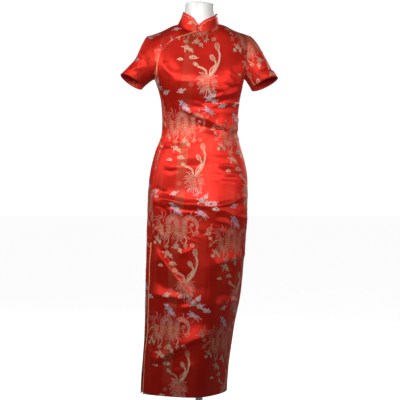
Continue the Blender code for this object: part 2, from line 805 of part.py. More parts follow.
FormRing = namedtuple("FormRing", "height half_width front back squareness centre_x")
FORM = [
    FormRing(1465, 43, 40, 39, 2.0, 4),
    FormRing(1462, 49, 46, 45, 2.0, 4),
    FormRing(1455, 52.5, 49, 48, 2.0, 4),
    FormRing(1400, 53, 48, 48, 2.0, 4),
    FormRing(1388, 57, 47, 48, 2.0, 3),
    FormRing(1380, 67, 43, 46, 2.0, 2),
    FormRing(1373, 84, 38, 42, 2.0, 1),
    FormRing(1365, 104, 36, 40, 2.1, 0),
    FormRing(1356, 124, 40, 44, 2.2, 0),
    FormRing(1344, 139, 48, 54, 2.2, 0),
    FormRing(1325, 146, 60, 68, 2.3, 0),
    FormRing(1295, 146, 76, 80, 2.3, 0),
    FormRing(1250, 142, 94, 84, 2.3, 0),
    FormRing(1200, 134, 107, 83, 2.3, 0),
    FormRing(1160, 125, 104, 81, 2.3, 1),
    FormRing(1112, 117, 89, 77, 2.2, 3),
    FormRing(1050, 114, 76, 72, 2.1, 3),
    FormRing(1000, 116, 75, 75, 2.1, 3),
    FormRing(940, 135, 82, 90, 2.1, 0),
    FormRing(870, 150, 88, 102, 2.1, -3),
    FormRing(800, 155, 90, 104, 2.1, -5),
    FormRing(720, 154, 88, 100, 2.1, -6),
    FormRing(708, 150, 85, 97, 2.1, -6),
    FormRing(704, 142, 79, 91, 2.1, -6),
]
FORM_SIDES = 24
NECK_TILT = 3.5        # degrees the neck's cap slopes down to the wearer's left
FORM_FOOT = 704.0

POLE = 12.5
BORE = 12.9
BASE_RADIUS = 160.0
BASE_FLOOR = 4.0       # solid plate under the pole's foot


def make_form(material, collection):
    rings = []
    for ring in FORM:
        points = []
        for k in range(FORM_SIDES):
            angle = 2 * math.pi * k / FORM_SIDES
            exponent = 2 / ring.squareness
            depth = ring.front if math.sin(angle) < 0 else ring.back
            x = ring.half_width * signed_power(math.cos(angle), exponent)
            y = depth * signed_power(math.sin(angle), exponent)
            tilt = max(0.0, ring.height - 1400) / 65 * math.tan(math.radians(NECK_TILT))
            points.append(Vector((ring.centre_x + x, y, ring.height - x * tilt)))
        rings.append(points)
    loft("form_torso", rings, material, collection, closed=True, capped=True)


def make_stand(material, collection):
    foot = FORM_FOOT - 0.3
    flange = [(BORE, foot), (45, foot), (45, foot - 5), (20, foot - 9), (20, foot - 44)]
    flange += [(BORE, foot - 44), (BORE, foot)]
    turned("stand_flange", flange, 24, material, collection)
    bpy.ops.mesh.primitive_cylinder_add(
        vertices=20, radius=POLE * MM, depth=(foot - 1 - BASE_FLOOR - 0.3) * MM
    )
    pole = bpy.context.object
    pole.name = "stand_pole"
    pole.location = (0, 0, (foot - 1 + BASE_FLOOR + 0.3) / 2 * MM)
    pole.data.materials.append(material)
    for other in list(pole.users_collection):
        other.objects.unlink(pole)
    collection.objects.link(pole)
    base = [(BORE, 36), (22, 36), (24, 34), (24, 16), (28, 12), (BASE_RADIUS - 8, 9)]
    base += [(BASE_RADIUS, 4), (BASE_RADIUS, 0), (0, 0)]
    base = [(0, BASE_FLOOR), (BORE, BASE_FLOOR)] + base
    turned("stand_base", base, 36, material, collection)


# ---------------------------------------------------------------- putting it together


def clear_scene():
    for thing in list(bpy.data.objects):
        bpy.data.objects.remove(thing)


def main():
    clear_scene()
    dress = new_collection("cheongsam_dress_on_form")
    brocade = satin("red_brocade", (0.55, 0.02, 0.02), 0.35)
    piping = satin("salmon_piping", (0.75, 0.18, 0.09), 0.4)
    binding = satin("red_binding", (0.60, 0.02, 0.03), 0.4)
    plastic = satin("white_plastic", (0.80, 0.80, 0.78), 0.25)
    steel = satin("satin_steel", (0.62, 0.62, 0.63), 0.3, 1.0)
    front = make_panels(brocade, dress)
    make_flap(brocade, dress)
    for side in ("right", "left"):
        make_sleeve(side, brocade, dress)
        make_slit_piping(side, front, piping, dress)
    make_collar(brocade, piping, dress)
    make_opening_piping(front, piping, dress)
    make_closures(binding, dress)
    make_form(plastic, dress)
    make_stand(steel, dress)


main()
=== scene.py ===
import math
from collections import namedtuple

import bmesh
import bpy
import numpy as np
from mathutils import Matrix, Vector, noise
from mathutils.bvhtree import BVHTree
from mathutils.kdtree import KDTree


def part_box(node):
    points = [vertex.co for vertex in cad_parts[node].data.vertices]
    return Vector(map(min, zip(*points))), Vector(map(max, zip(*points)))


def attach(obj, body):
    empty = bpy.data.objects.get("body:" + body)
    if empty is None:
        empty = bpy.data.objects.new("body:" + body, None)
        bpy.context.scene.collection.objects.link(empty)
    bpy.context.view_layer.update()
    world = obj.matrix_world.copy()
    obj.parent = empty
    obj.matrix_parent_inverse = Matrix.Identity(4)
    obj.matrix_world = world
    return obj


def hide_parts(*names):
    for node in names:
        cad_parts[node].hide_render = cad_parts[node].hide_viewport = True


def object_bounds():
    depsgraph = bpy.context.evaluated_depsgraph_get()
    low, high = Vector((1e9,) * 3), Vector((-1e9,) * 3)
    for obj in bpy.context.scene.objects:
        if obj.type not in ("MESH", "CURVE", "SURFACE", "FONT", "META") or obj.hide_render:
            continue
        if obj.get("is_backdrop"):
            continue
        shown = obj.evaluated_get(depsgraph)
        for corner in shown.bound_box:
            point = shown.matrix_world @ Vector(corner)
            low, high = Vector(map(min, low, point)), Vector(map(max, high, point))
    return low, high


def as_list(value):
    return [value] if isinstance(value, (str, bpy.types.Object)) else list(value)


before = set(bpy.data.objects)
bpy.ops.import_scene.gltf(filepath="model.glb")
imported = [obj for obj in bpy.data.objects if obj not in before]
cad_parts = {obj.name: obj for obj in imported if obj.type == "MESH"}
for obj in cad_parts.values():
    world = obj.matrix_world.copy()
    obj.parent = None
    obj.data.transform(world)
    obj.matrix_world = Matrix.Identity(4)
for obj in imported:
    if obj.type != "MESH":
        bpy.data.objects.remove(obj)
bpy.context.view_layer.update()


# ================================================================ the studio
# A white floor runs on under a white sky, with soft windows in front, at the left, above and
# behind, and a small weak one at the right that only reaches the hips. The camera alone sees sky
# and floor as pure white: they throw much less on the dress, so the satin keeps its dark folds.

EYE = Vector((0.0035, -4.4, 0.786))
LENS = 114.75
SENSOR = 36.0
SKY_SEEN = 1.05
SKY_CAST = 0.07
FLOOR_SEEN = 0.93
WHITE = (1.0, 1.0, 1.0, 1.0)

scene = bpy.context.scene
scene.view_settings.view_transform = "Standard"
bpy.ops.object.select_all(action="DESELECT")

bpy.ops.object.camera_add(location=EYE, rotation=(math.radians(90), 0, 0))
camera = bpy.context.object
camera.name = "camera"
camera.data.lens = LENS
camera.data.sensor_width = SENSOR
scene.camera = camera


def set_inputs(tree, node, inputs):
    """A node's inputs, set by name or joined to another node's output."""
    for name, value in inputs.items():
        if isinstance(value, bpy.types.NodeSocket):
            tree.links.new(value, node.inputs[name])
        else:
            node.inputs[name].default_value = value


def add_node(tree, kind, inputs=None, **settings):
    """A node of a kind with its settings and inputs."""
    node = tree.nodes.new("ShaderNode" + kind)
    for name, value in settings.items():
        setattr(node, name, value)
    set_inputs(tree, node, inputs or {})
    return node


def maths(tree, operation, a, b=0.0):
    """One sum on a value or two."""
    return add_node(tree, "Math", {0: a, 1: b}, operation=operation).outputs[0]


def remap(tree, value, start, end, to_start, to_end, interpolation_type="LINEAR"):
    """A value between start and end, moved to between two others and held there."""
    return add_node(tree, "MapRange", {
        "Value": value, "From Min": start, "From Max": end, "To Min": to_start, "To Max": to_end,
    }, interpolation_type=interpolation_type).outputs["Result"]


def blend(tree, factor, a, b):
    """A colour between two."""
    return add_node(tree, "Mix", {"Factor": factor, "A": a, "B": b},
                    data_type="RGBA").outputs["Result"]


def clouds(tree, place, scale, detail):
    """Soft noise."""
    return add_node(tree, "TexNoise", {
        "Vector": place, "Scale": scale, "Detail": detail}).outputs["Fac"]


def relief(tree, height, strength, distance):
    """A bumped normal."""
    return add_node(tree, "Bump", {
        "Height": height, "Strength": strength, "Distance": distance}).outputs["Normal"]


def hang_window(name, place, aim, size, watts, spread=180):
    """A large soft area light at a place, turned to its aim. A low spread keeps it to the aim."""
    bpy.ops.object.light_add(type="AREA", location=place)
    lamp = bpy.context.object
    lamp.name = name
    lamp.rotation_euler = (Vector(aim) - Vector(place)).to_track_quat("-Z", "Y").to_euler()
    lamp.data.shape = "RECTANGLE"
    lamp.data.size, lamp.data.size_y = size
    lamp.data.energy = watts
    lamp.data.spread = math.radians(spread)


hang_window("front_window", (-0.15, -2.3, 1.5), (0.0, 0.0, 1.18), (2.1, 0.4), 6.3, spread=54)
hang_window("right_window", (1.7, -2.3, 1.3), (0.10, 0, 0.93), (0.4, 0.4), 0.7, spread=30)
hang_window("left_window", (-2.4, -1.9, 2.0), (0.0, 0.0, 1.2), (0.9, 0.9), 10.5, spread=80)
hang_window("top_window", (-0.3, -1.6, 3.0), (0.0, 0.0, 1.1), (0.8, 0.8), 11)
hang_window("back_window", (1.9, 2.6, 1.9), (0.0, 0.0, 0.9), (1.6, 1.0), 60)

world = bpy.data.worlds.new("white_sky")
scene.world = world
world.use_nodes = True
sky = world.node_tree
sky.nodes.clear()
seen = add_node(sky, "LightPath").outputs["Is Camera Ray"]
glow = add_node(sky, "Background", {
    "Color": WHITE, "Strength": remap(sky, seen, 0.0, 1.0, SKY_CAST, SKY_SEEN)})
add_node(sky, "OutputWorld", {"Surface": glow.outputs["Background"]})

bpy.ops.mesh.primitive_circle_add(vertices=96, radius=60, fill_type="NGON")
floor = bpy.context.object
floor.name = "floor"
floor_finish = bpy.data.materials.new("white_floor")
floor_finish.use_nodes = True
tree = floor_finish.node_tree
seen = add_node(tree, "LightPath").outputs["Is Camera Ray"]
set_inputs(tree, tree.nodes["Principled BSDF"], {
    "Base Color": (0.5, 0.5, 0.5, 1.0), "Roughness": 0.9, "Specular IOR Level": 0.1,
    "Emission Color": WHITE, "Emission Strength": maths(tree, "MULTIPLY", seen, FLOOR_SEEN)})
floor.data.materials.append(floor_finish)
floor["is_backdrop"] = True


# ================================================================ the dress form's torso
# A hollow torso moulded in white gloss plastic, with a closed neck stub and nothing below the
# hips. The mould leaves it smooth all over. The dress hangs on its shoulders.


def only(piece):
    """Select this piece alone and make it the active one."""
    bpy.ops.object.select_all(action="DESELECT")
    piece.select_set(True)
    bpy.context.view_layer.objects.active = piece


def new_piece(name, mesh):
    piece = bpy.data.objects.new(name, mesh)
    scene.collection.objects.link(piece)
    return piece


def copy_of(node, name):
    """A copy of a solid's mesh as a new piece, with its loose triangles joined up."""
    piece = new_piece(name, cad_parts[node].data.copy())
    piece.data.materials.clear()
    only(piece)
    bpy.ops.object.mode_set(mode="EDIT")
    bpy.ops.mesh.select_all(action="SELECT")
    bpy.ops.mesh.remove_doubles(threshold=0.00001)
    bpy.ops.mesh.customdata_custom_splitnormals_clear()
    bpy.ops.object.mode_set(mode="OBJECT")
    return piece


def in_edit_mode(piece, *steps):
    """Run edit operators one after another on all of a piece."""
    only(piece)
    bpy.ops.object.mode_set(mode="EDIT")
    bpy.ops.mesh.select_all(action="SELECT")
    for step in steps:
        step()
    bpy.ops.object.mode_set(mode="OBJECT")


def apply_modifiers(piece):
    only(piece)
    for modifier in list(piece.modifiers):
        bpy.ops.object.modifier_apply(modifier=modifier.name)


def round_off(piece, levels):
    """Rounds a faceted cage off with a subdivision surface."""
    rounder = piece.modifiers.new("Rounded", "SUBSURF")
    rounder.levels = rounder.render_levels = levels
    rounder.boundary_smooth = "PRESERVE_CORNERS"
    apply_modifiers(piece)


def paint(piece, *finishes):
    for finish in finishes:
        piece.data.materials.append(finish)
    only(piece)
    bpy.ops.object.shade_smooth()


def belongs(piece, slot, *nodes):
    """The piece rides on the one body and stands for its solids, which it hides. The slot is not
    used.
    """
    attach(piece, "root")
    if nodes:
        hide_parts(*nodes)


def quads(piece):
    in_edit_mode(piece, lambda: bpy.ops.mesh.tris_convert_to_quads(
        face_threshold=math.radians(75), shape_threshold=math.radians(85)))


def new_finish(name):
    finish = bpy.data.materials.new(name)
    finish.use_nodes = True
    return finish, finish.node_tree, finish.node_tree.nodes["Principled BSDF"]


def moulded_plastic():
    """White gloss plastic with a faint orange-peel skin and a little handling dust."""
    finish, tree, shader = new_finish("moulded_plastic")
    place = add_node(tree, "TexCoord").outputs["Object"]
    peel = clouds(tree, place, 220.0, 2.0)
    dust = clouds(tree, place, 9.0, 5.0)
    set_inputs(tree, shader, {
        "Base Color": blend(tree, dust, (0.66, 0.65, 0.63, 1.0), (0.74, 0.735, 0.72, 1.0)),
        "Roughness": remap(tree, dust, 0.0, 1.0, 0.22, 0.38),
        "Normal": relief(tree, peel, 0.12, 0.0004), "Coat Weight": 0.25})
    return finish


torso = copy_of("form_torso", "torso")
quads(torso)
round_off(torso, 2)
paint(torso, moulded_plastic())
belongs(torso, "form_plastic", "form_torso")


# ================================================================ the stand
# A pressed flange screwed under the torso, a steel tube and a turned steel base disc. They are
# satin brushed, and the tube drops into the base's socket, held by a grub screw.


def satin_steel():
    """Brushed steel: fine rings round the axis, a little smudged."""
    finish, tree, shader = new_finish("satin_steel")
    place = add_node(tree, "TexCoord").outputs["Object"]
    squeezed = add_node(tree, "Mapping", {"Vector": place, "Scale": (6.0, 6.0, 900.0)})
    lines = clouds(tree, squeezed.outputs["Vector"], 1.0, 3.0)
    smudge = clouds(tree, place, 14.0, 4.0)
    set_inputs(tree, shader, {
        "Base Color": blend(tree, lines, (0.50, 0.50, 0.51, 1.0), (0.72, 0.72, 0.73, 1.0)),
        "Roughness": remap(tree, smudge, 0.0, 1.0, 0.25, 0.45),
        "Normal": relief(tree, lines, 0.15, 0.0002), "Metallic": 1.0})
    return finish


steel = satin_steel()


def turned_up(name, profile):
    """A turned piece pulled up from a disc: (radius, height) steps in millimetres, foot first."""
    radius, height = profile[0]
    bpy.ops.mesh.primitive_circle_add(
        vertices=72, radius=radius / 1000, fill_type="NGON", location=(0, 0, height / 1000))
    piece = bpy.context.object
    piece.name = name
    bpy.ops.object.transform_apply(location=True, rotation=True, scale=True)
    bpy.ops.object.mode_set(mode="EDIT")
    for radius_to, height_to in profile[1:]:
        bpy.ops.mesh.extrude_region_move(
            TRANSFORM_OT_translate={"value": (0, 0, (height_to - height) / 1000)})
        ratio = radius_to / radius
        bpy.ops.transform.resize(value=(ratio, ratio, 1), center_override=(0, 0, height_to / 1000))
        radius, height = radius_to, height_to
    bpy.ops.mesh.select_all(action="SELECT")
    bpy.ops.mesh.normals_make_consistent(inside=False)
    bpy.ops.object.mode_set(mode="OBJECT")
    only(piece)
    bpy.ops.object.shade_smooth_by_angle(angle=math.radians(35))
    piece.data.materials.append(steel)
    return piece


pole_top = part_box("stand_pole")[1]
pole_radius = pole_top.x * 1000
base_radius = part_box("stand_base")[1].x * 1000
flange_low, flange_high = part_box("stand_flange")
flange_foot, flange_top = flange_low.z * 1000, flange_high.z * 1000

base = turned_up("base_disc", [
    (base_radius - 1.5, 0), (base_radius, 1.5), (base_radius, 3), (base_radius - 3, 5.5),
    (base_radius - 10, 8.6), (80, 11), (30, 12), (25.5, 13.2), (24, 16), (24, 33.5), (22.5, 36),
    (pole_radius + 0.6, 36), (pole_radius + 0.4, 30)])
belongs(base, "stand_steel", "stand_base")
pole = turned_up("pole_tube", [
    (pole_radius, 30.2), (pole_radius, 300), (pole_radius, pole_top.z * 1000)])
belongs(pole, "stand_steel", "stand_pole")
flange = turned_up("flange_plate", [
    (20, flange_foot), (20.6, flange_foot + 1), (20.6, flange_top - 12), (23, flange_top - 8),
    (44, flange_top - 4), (45, flange_top - 3), (45, flange_top)])
belongs(flange, "stand_steel", "stand_flange")


# ================================================================ the brocade
# Satin brocade in red: warp-faced silk-like satin with coloured weft floats. The ground has faint
# vertical bands where the extra wefts are tied down, which are browner and less glossy.

BAND_PERIOD = 0.083    # distance between the tied-down bands, of which every third is strong
BAND_START = 0.013
RED_DEEP = (0.40, 0.009, 0.004, 1.0)
RED = (0.60, 0.016, 0.007, 1.0)
BAND_BROWN = (0.46, 0.062, 0.030, 1.0)


def weave_group():
    """Fine satin weave: threads along the cloth as a bump height, and slow shade changes."""
    group = bpy.data.node_groups.new("satin_weave", "ShaderNodeTree")
    group.interface.new_socket("Cloth", in_out="INPUT", socket_type="NodeSocketVector")
    group.interface.new_socket("Threads", in_out="INPUT", socket_type="NodeSocketFloat")
    group.interface.new_socket("Height", in_out="OUTPUT", socket_type="NodeSocketFloat")
    group.interface.new_socket("Shade", in_out="OUTPUT", socket_type="NodeSocketFloat")
    entry = group.nodes.new("NodeGroupInput")
    spread = add_node(group, "CombineXYZ", {"X": entry.outputs["Threads"], "Y": 60.0, "Z": 1.0})
    stretched = add_node(group, "VectorMath", {
        0: entry.outputs["Cloth"], 1: spread.outputs["Vector"]}, operation="MULTIPLY")
    set_inputs(group, group.nodes.new("NodeGroupOutput"), {
        "Height": clouds(group, stretched.outputs["Vector"], 1.0, 1.0),
        "Shade": clouds(group, entry.outputs["Cloth"], 22.0, 3.0)})
    return group


weave = weave_group()


def brocade_finish():
    """Red satin ground with its browner bands, read from the cloth's own flat pattern."""
    finish, tree, shader = new_finish("red_brocade")
    flat = add_node(tree, "UVMap", uv_map="UVMap").outputs["UV"]
    satin = add_node(tree, "Group", {"Cloth": flat, "Threads": 2600.0}, node_tree=weave)
    apart = add_node(tree, "SeparateXYZ", {"Vector": flat})
    shifted = maths(tree, "SUBTRACT", apart.outputs["X"], BAND_START)
    waves = []
    for period in (BAND_PERIOD, 3 * BAND_PERIOD):
        turns = maths(tree, "MULTIPLY", shifted, 2 * math.pi / period)
        back = maths(tree, "SUBTRACT", turns, 2 * math.pi * BAND_PERIOD / period)
        waves.append(maths(tree, "COSINE", back))
    band = remap(tree, waves[0], 0.10, 0.45, 0.0, 1.0, interpolation_type="SMOOTHSTEP")
    strong = remap(tree, waves[1], -0.4, 0.6, 0.12, 1.0)
    bodice = remap(tree, apart.outputs["Y"], 0.82, 1.0, 1.0, 0.4)
    worn = remap(tree, clouds(tree, flat, 6.5, 1.0), 0.36, 0.56, 0.0, 1.0)
    tied = maths(tree, "MULTIPLY",
                 maths(tree, "MULTIPLY", band, maths(tree, "MULTIPLY", strong, bodice)), worn)
    red = blend(tree, satin.outputs["Shade"], RED_DEEP, RED)
    along_weft = add_node(tree, "Tangent", direction_type="UV_MAP", uv_map="UVMap")
    set_inputs(tree, shader, {
        "Base Color": blend(tree, tied, red, BAND_BROWN),
        "Roughness": remap(tree, tied, 0.0, 1.0, 0.50, 0.62),
        "Normal": relief(tree, satin.outputs["Height"], 0.25, 0.0002),
        "Tangent": along_weft.outputs["Tangent"],
        "Anisotropic": 0.84, "Metallic": 0.6, "Specular IOR Level": 0.25})
    return finish


brocade = brocade_finish()

# The cloth's wall is thinner than its solid, which is as thick as a rigid wall has to be.
WALL = 0.0007
COLLAR_WALL = 0.0012
SOLID_WALL = 0.0012
SOLID_COLLAR_WALL = 0.0016
BODY_CENTRES = np.array([    # height, middle across, middle in depth
    (0.122, -0.056, 0.020), (0.325, -0.038, 0.015), (0.577, -0.014, 0.005),
    (0.762, -0.006, 0.0), (1.6, 0.0, 0.0)])


def body_centre(height):
    """The middle of the body at a height: the skirt's leans to the wearer's right."""
    heights, across, deep = BODY_CENTRES.T
    return Vector((np.interp(height, heights, across), np.interp(height, heights, deep), height))


def opened(piece):
    """The piece's mesh, open for reading or editing."""
    cloth = bmesh.new()
    cloth.from_mesh(piece.data)
    return cloth


def grown(seeds, joins):
    """The faces reached from the seeds, step by step to those beside them that a test joins."""
    reached, waiting = set(seeds), list(seeds)
    while waiting:
        face = waiting.pop()
        for beside in (other for edge in face.edges for other in edge.link_faces):
            if beside not in reached and joins(face, beside):
                reached.add(beside)
                waiting.append(beside)
    return reached


def outer_sheet(node, name, wall=SOLID_WALL, centre=body_centre):
    """The outer face alone of a cloth solid: its rims and inner face are taken off."""
    piece = copy_of(node, name)
    cloth = opened(piece)
    cloth.normal_update()
    tree = BVHTree.FromBMesh(cloth)
    step = 0.0001
    broad = set()
    for face in cloth.faces:
        hit = tree.ray_cast(face.calc_center_median() - face.normal * step, -face.normal, 3 * wall)
        if hit[0] is None or hit[1].dot(face.normal) > -0.9:
            continue
        if abs(hit[3] + step - wall) < 0.25 * wall:
            broad.add(face)
    broad = grown(broad, lambda face, beside: beside.normal.dot(face.normal) > 0.6)
    rims = [face for face in cloth.faces if face not in broad]
    bmesh.ops.delete(cloth, geom=rims, context="FACES_ONLY")
    sheets, left = [], set(cloth.faces)
    while left:
        sheet = grown([left.pop()], lambda face, beside: True)
        left -= sheet
        facing = 0.0
        for face in sheet:
            middle = face.calc_center_median()
            facing += face.calc_area() * face.normal.dot(middle - centre(middle.z))
        sheets.append((facing, sheet))
    best = max(sheets, key=lambda pair: pair[0])[1]
    spare = [face for facing, sheet in sheets if sheet is not best for face in sheet]
    bmesh.ops.delete(cloth, geom=spare, context="FACES")
    loose = [vertex for vertex in cloth.verts if not vertex.link_faces]
    bmesh.ops.delete(cloth, geom=loose, context="VERTS")
    cloth.to_mesh(piece.data)
    cloth.free()
    quads(piece)
    return piece


def of_points(piece, what):
    found = np.empty(len(piece.data.vertices) * 3)
    piece.data.vertices.foreach_get(what, found)
    return found.reshape(-1, 3)


def coordinates(piece):
    return of_points(piece, "co")


def outward(piece):
    return of_points(piece, "normal")


def set_coordinates(piece, places):
    piece.data.vertices.foreach_set("co", places.astype(np.float32).ravel())
    piece.data.update()


def crossed(a, b):
    """The cross product of two rows of flat vectors."""
    return a[:, 0] * b[:, 1] - a[:, 1] * b[:, 0]


def triangles(piece):
    """Corner indices, vertex indices and flat-pattern places of the mesh's triangles."""
    piece.data.calc_loop_triangles()
    number = len(piece.data.loop_triangles)
    loops, verts = np.empty(number * 3, dtype=np.int32), np.empty(number * 3, dtype=np.int32)
    piece.data.loop_triangles.foreach_get("loops", loops)
    piece.data.loop_triangles.foreach_get("vertices", verts)
    flat = np.empty(len(piece.data.loops) * 2)
    piece.data.uv_layers.active.data.foreach_get("uv", flat)
    return verts.reshape(-1, 3), flat.reshape(-1, 2)[loops].reshape(-1, 3, 2)


def lay_flat(piece, up, across, seam=None):
    """Flattens the sheet to its own pattern in metres, with the grain running up the pattern."""
    for layer in list(piece.data.uv_layers):
        piece.data.uv_layers.remove(layer)
    piece.data.uv_layers.new(name="UVMap")
    if seam:
        for edge in piece.data.edges:
            edge.use_seam = all(seam(piece.data.vertices[i].co) for i in edge.vertices)
    in_edit_mode(piece, lambda: bpy.ops.uv.unwrap(method="ANGLE_BASED", margin=0.0))
    places = coordinates(piece)
    corners, flat = triangles(piece)
    sides = places[corners[:, 1:]] - places[corners[:, :1]]
    flat_sides = flat[:, 1:] - flat[:, :1]
    area = np.linalg.norm(np.cross(sides[:, 0], sides[:, 1]), axis=1)
    flat_area = np.abs(crossed(flat_sides[:, 0], flat_sides[:, 1]))
    scale = math.sqrt(area.sum() / flat_area.sum())
    grain, weft = np.zeros(2), np.zeros(2)
    for i in range(len(sides)):
        gram = sides[i] @ sides[i].T
        if np.linalg.det(gram) < 1e-20:
            continue
        inverse = np.linalg.inv(gram)
        grain += area[i] * (inverse @ (sides[i] @ np.array(up))) @ flat_sides[i]
        weft += area[i] * (inverse @ (sides[i] @ np.array(across))) @ flat_sides[i]
    grain /= np.linalg.norm(grain)
    mirrored = grain[1] * weft[0] - grain[0] * weft[1] < 0
    layer = piece.data.uv_layers.active.data
    found = np.empty(len(layer) * 2)
    layer.foreach_get("uv", found)
    found = found.reshape(-1, 2) * scale
    turned = np.stack([found @ np.array([grain[1], -grain[0]]), found @ grain], axis=1)
    if mirrored:
        turned[:, 0] *= -1
    layer.foreach_set("uv", turned.astype(np.float32).ravel())


def refine(piece):
    """Makes the sheet six times finer along each edge, rounded off and free of facets."""
    round_off(piece, 1)
    in_edit_mode(piece, lambda: bpy.ops.mesh.subdivide(number_cuts=2, smoothness=0))
    inner = piece.vertex_groups.new(name="inner")
    cloth = opened(piece)
    inner.add([vertex.index for vertex in cloth.verts if not vertex.is_boundary], 1.0, "REPLACE")
    cloth.free()
    ironed = piece.modifiers.new("Ironed", "SMOOTH")
    ironed.factor = 0.5
    ironed.iterations = 4
    ironed.vertex_group = "inner"
    apply_modifiers(piece)
    piece.vertex_groups.clear()


# ---------------------------------------------------------------- creases
# A row is one crease: its rise, above 0 for a ridge and below 0 for a trough, its half widths on
# the left and right of its run, and the points of that run. They are in millimetres across and up,
# as seen from the front, and on the back from straight before the dress. A drag is a patch of fine
# wrinkles: rise, middle, half length, half width, the angle they run at, and their pitch.

FOLD_RADIUS = 0.0011  # how round its crest is
FOLD_REACH = 1.3      # how far a crease's sides run, in its half widths
FOLD_FADE = 0.22      # share of its run over which each end dies away
SOFT_BEND, PRESSED_BEND = 1.25, 1.1    # how hollow its sides are: at 1 they fall straight
FRONT_CREASES = [
    # chest
    (2.4, 6, 4, (-10, 1348), (17, 1338), (40, 1322)),
    (2.2, 5, 4, (41, 1376), (55, 1364), (72, 1345)),
    (3.0, 12, 8, (-124, 1269), (-116, 1238), (-93, 1212)),
    (-1.0, 14, 14, (-104, 1269), (-90, 1245), (-66, 1231)),
    (1.8, 24, 16, (-93, 1203), (-31, 1198), (31, 1203)),
    (2.6, 8, 8, (100, 1238), (121, 1214), (141, 1176)),
    (-1.8, 8, 10, (79, 1186), (104, 1183), (128, 1162)),
    (1.5, 16, 16, (-59, 1310), (-24, 1283), (21, 1269)),
    # bust and waist drags
    (3.2, 10, 7, (-45, 1126), (3, 1136), (52, 1141), (100, 1152), (148, 1171)),
    (-2.8, 6, 8, (14, 1121), (72, 1126), (135, 1141)),
    (2.8, 8, 6, (52, 1114), (100, 1121), (145, 1114)),
    (-2.4, 7, 7, (38, 1100), (93, 1103), (135, 1096)),
    (2.4, 8, 7, (-135, 1134), (-114, 1145), (-93, 1164)),
    (2.2, 8, 7, (-140, 1107), (-121, 1119), (-100, 1128)),
    (11.5, 62, 7, (-66, 1103), (-7, 1076), (45, 1053), (100, 1028)),
    (-6.0, 8, 20, (-21, 1052), (31, 1036), (79, 1024)),
    (-5.0, 7, 9, (97, 1007), (124, 1015), (155, 1019)),
    (3.4, 10, 9, (86, 1024), (117, 1045), (148, 1076)),
    (-2.6, 10, 16, (-135, 976), (-97, 988), (-45, 983)),
    (2.0, 12, 12, (-114, 941), (-45, 958), (21, 990)),
    (2.2, 12, 10, (-122, 1014), (-114, 958), (-124, 903)),
    # hips
    (6.5, 26, 62, (-145, 921), (-93, 902), (-24, 900), (52, 914)),
    (-2.2, 7, 7, (-124, 891), (-93, 883), (-66, 890)),
    (5.0, 22, 44, (59, 883), (114, 876), (166, 862)),
    (-2.8, 6, 7, (69, 902), (93, 905), (121, 902)),
    (1.6, 9, 8, (45, 934), (86, 924), (128, 931)),
    (-2.4, 9, 9, (-155, 834), (-135, 817), (-107, 810)),
    (7.0, 12, 6, (-152, 795), (-100, 788), (-48, 774), (3, 765), (52, 762)),
    (-5.0, 5, 9, (-124, 772), (-52, 755), (45, 748)),
    (-3.0, 5, 8, (-155, 772), (-131, 765), (-107, 748)),
    (5.6, 10, 7, (45, 762), (100, 774), (166, 802)),
    (5.2, 8, 7, (48, 753), (86, 748), (124, 731), (166, 720)),
    (-4.2, 5, 7, (59, 734), (100, 722), (141, 703)),
    (4.2, 8, 8, (48, 720), (93, 708), (135, 686)),
    (2.6, 8, 8, (48, 689), (79, 679), (114, 658)),
    # thighs
    (2.8, 8, 8, (-159, 703), (-145, 679), (-117, 662)),
    (8.5, 6, 52, (-152, 624), (-114, 572), (-72, 513), (-24, 444)),
    (-4.0, 16, 5, (-135, 620), (-86, 555), (-31, 479)),
    (10.0, 46, 5, (34, 555), (93, 576), (166, 601)),
    (-3.2, 8, 12, (45, 534), (93, 551), (152, 572)),
    (2.6, 14, 12, (62, 710), (55, 648), (62, 600)),
    (2.8, 14, 10, (-10, 627), (-38, 607), (-79, 600)),
    # the two pressed lines down the middle
    (2.4, 3, 3, (47, 765), (39, 648), (32, 520), (24, 400)),
    (2.0, 3, 3, (37, 742), (29, 640), (21, 520), (12, 420)),
    # knees
    (8.0, 34, 5, (-172, 463), (-121, 453), (-66, 446), (-10, 451)),
    (-5.0, 6, 12, (-135, 438), (-79, 427), (-10, 434)),
    (4.6, 8, 8, (-59, 410), (-31, 425), (3, 448)),
    (4.6, 24, 12, (-100, 386), (-45, 355), (14, 341)),
    (-3.4, 8, 8, (45, 451), (86, 460), (135, 460)),
    (5.6, 9, 20, (48, 424), (79, 438), (135, 444)),
    (2.6, 12, 12, (52, 379), (79, 338), (66, 282)),
    # shins
    (13.0, 80, 5, (-190, 203), (-117, 244), (-45, 284), (38, 331)),
    (-7.0, 5, 34, (-148, 206), (-59, 251), (17, 293)),
    (3.4, 7, 14, (-181, 275), (-155, 251), (-124, 229)),
    (-4.6, 12, 32, (-135, 220), (-93, 182), (-45, 124)),
    (3.0, 8, 24, (-190, 193), (-148, 203), (-121, 213)),
    (2.4, 12, 10, (45, 262), (72, 227), (86, 172)),
    (2.6, 18, 10, (-31, 227), (-10, 182), (-21, 124)),
]
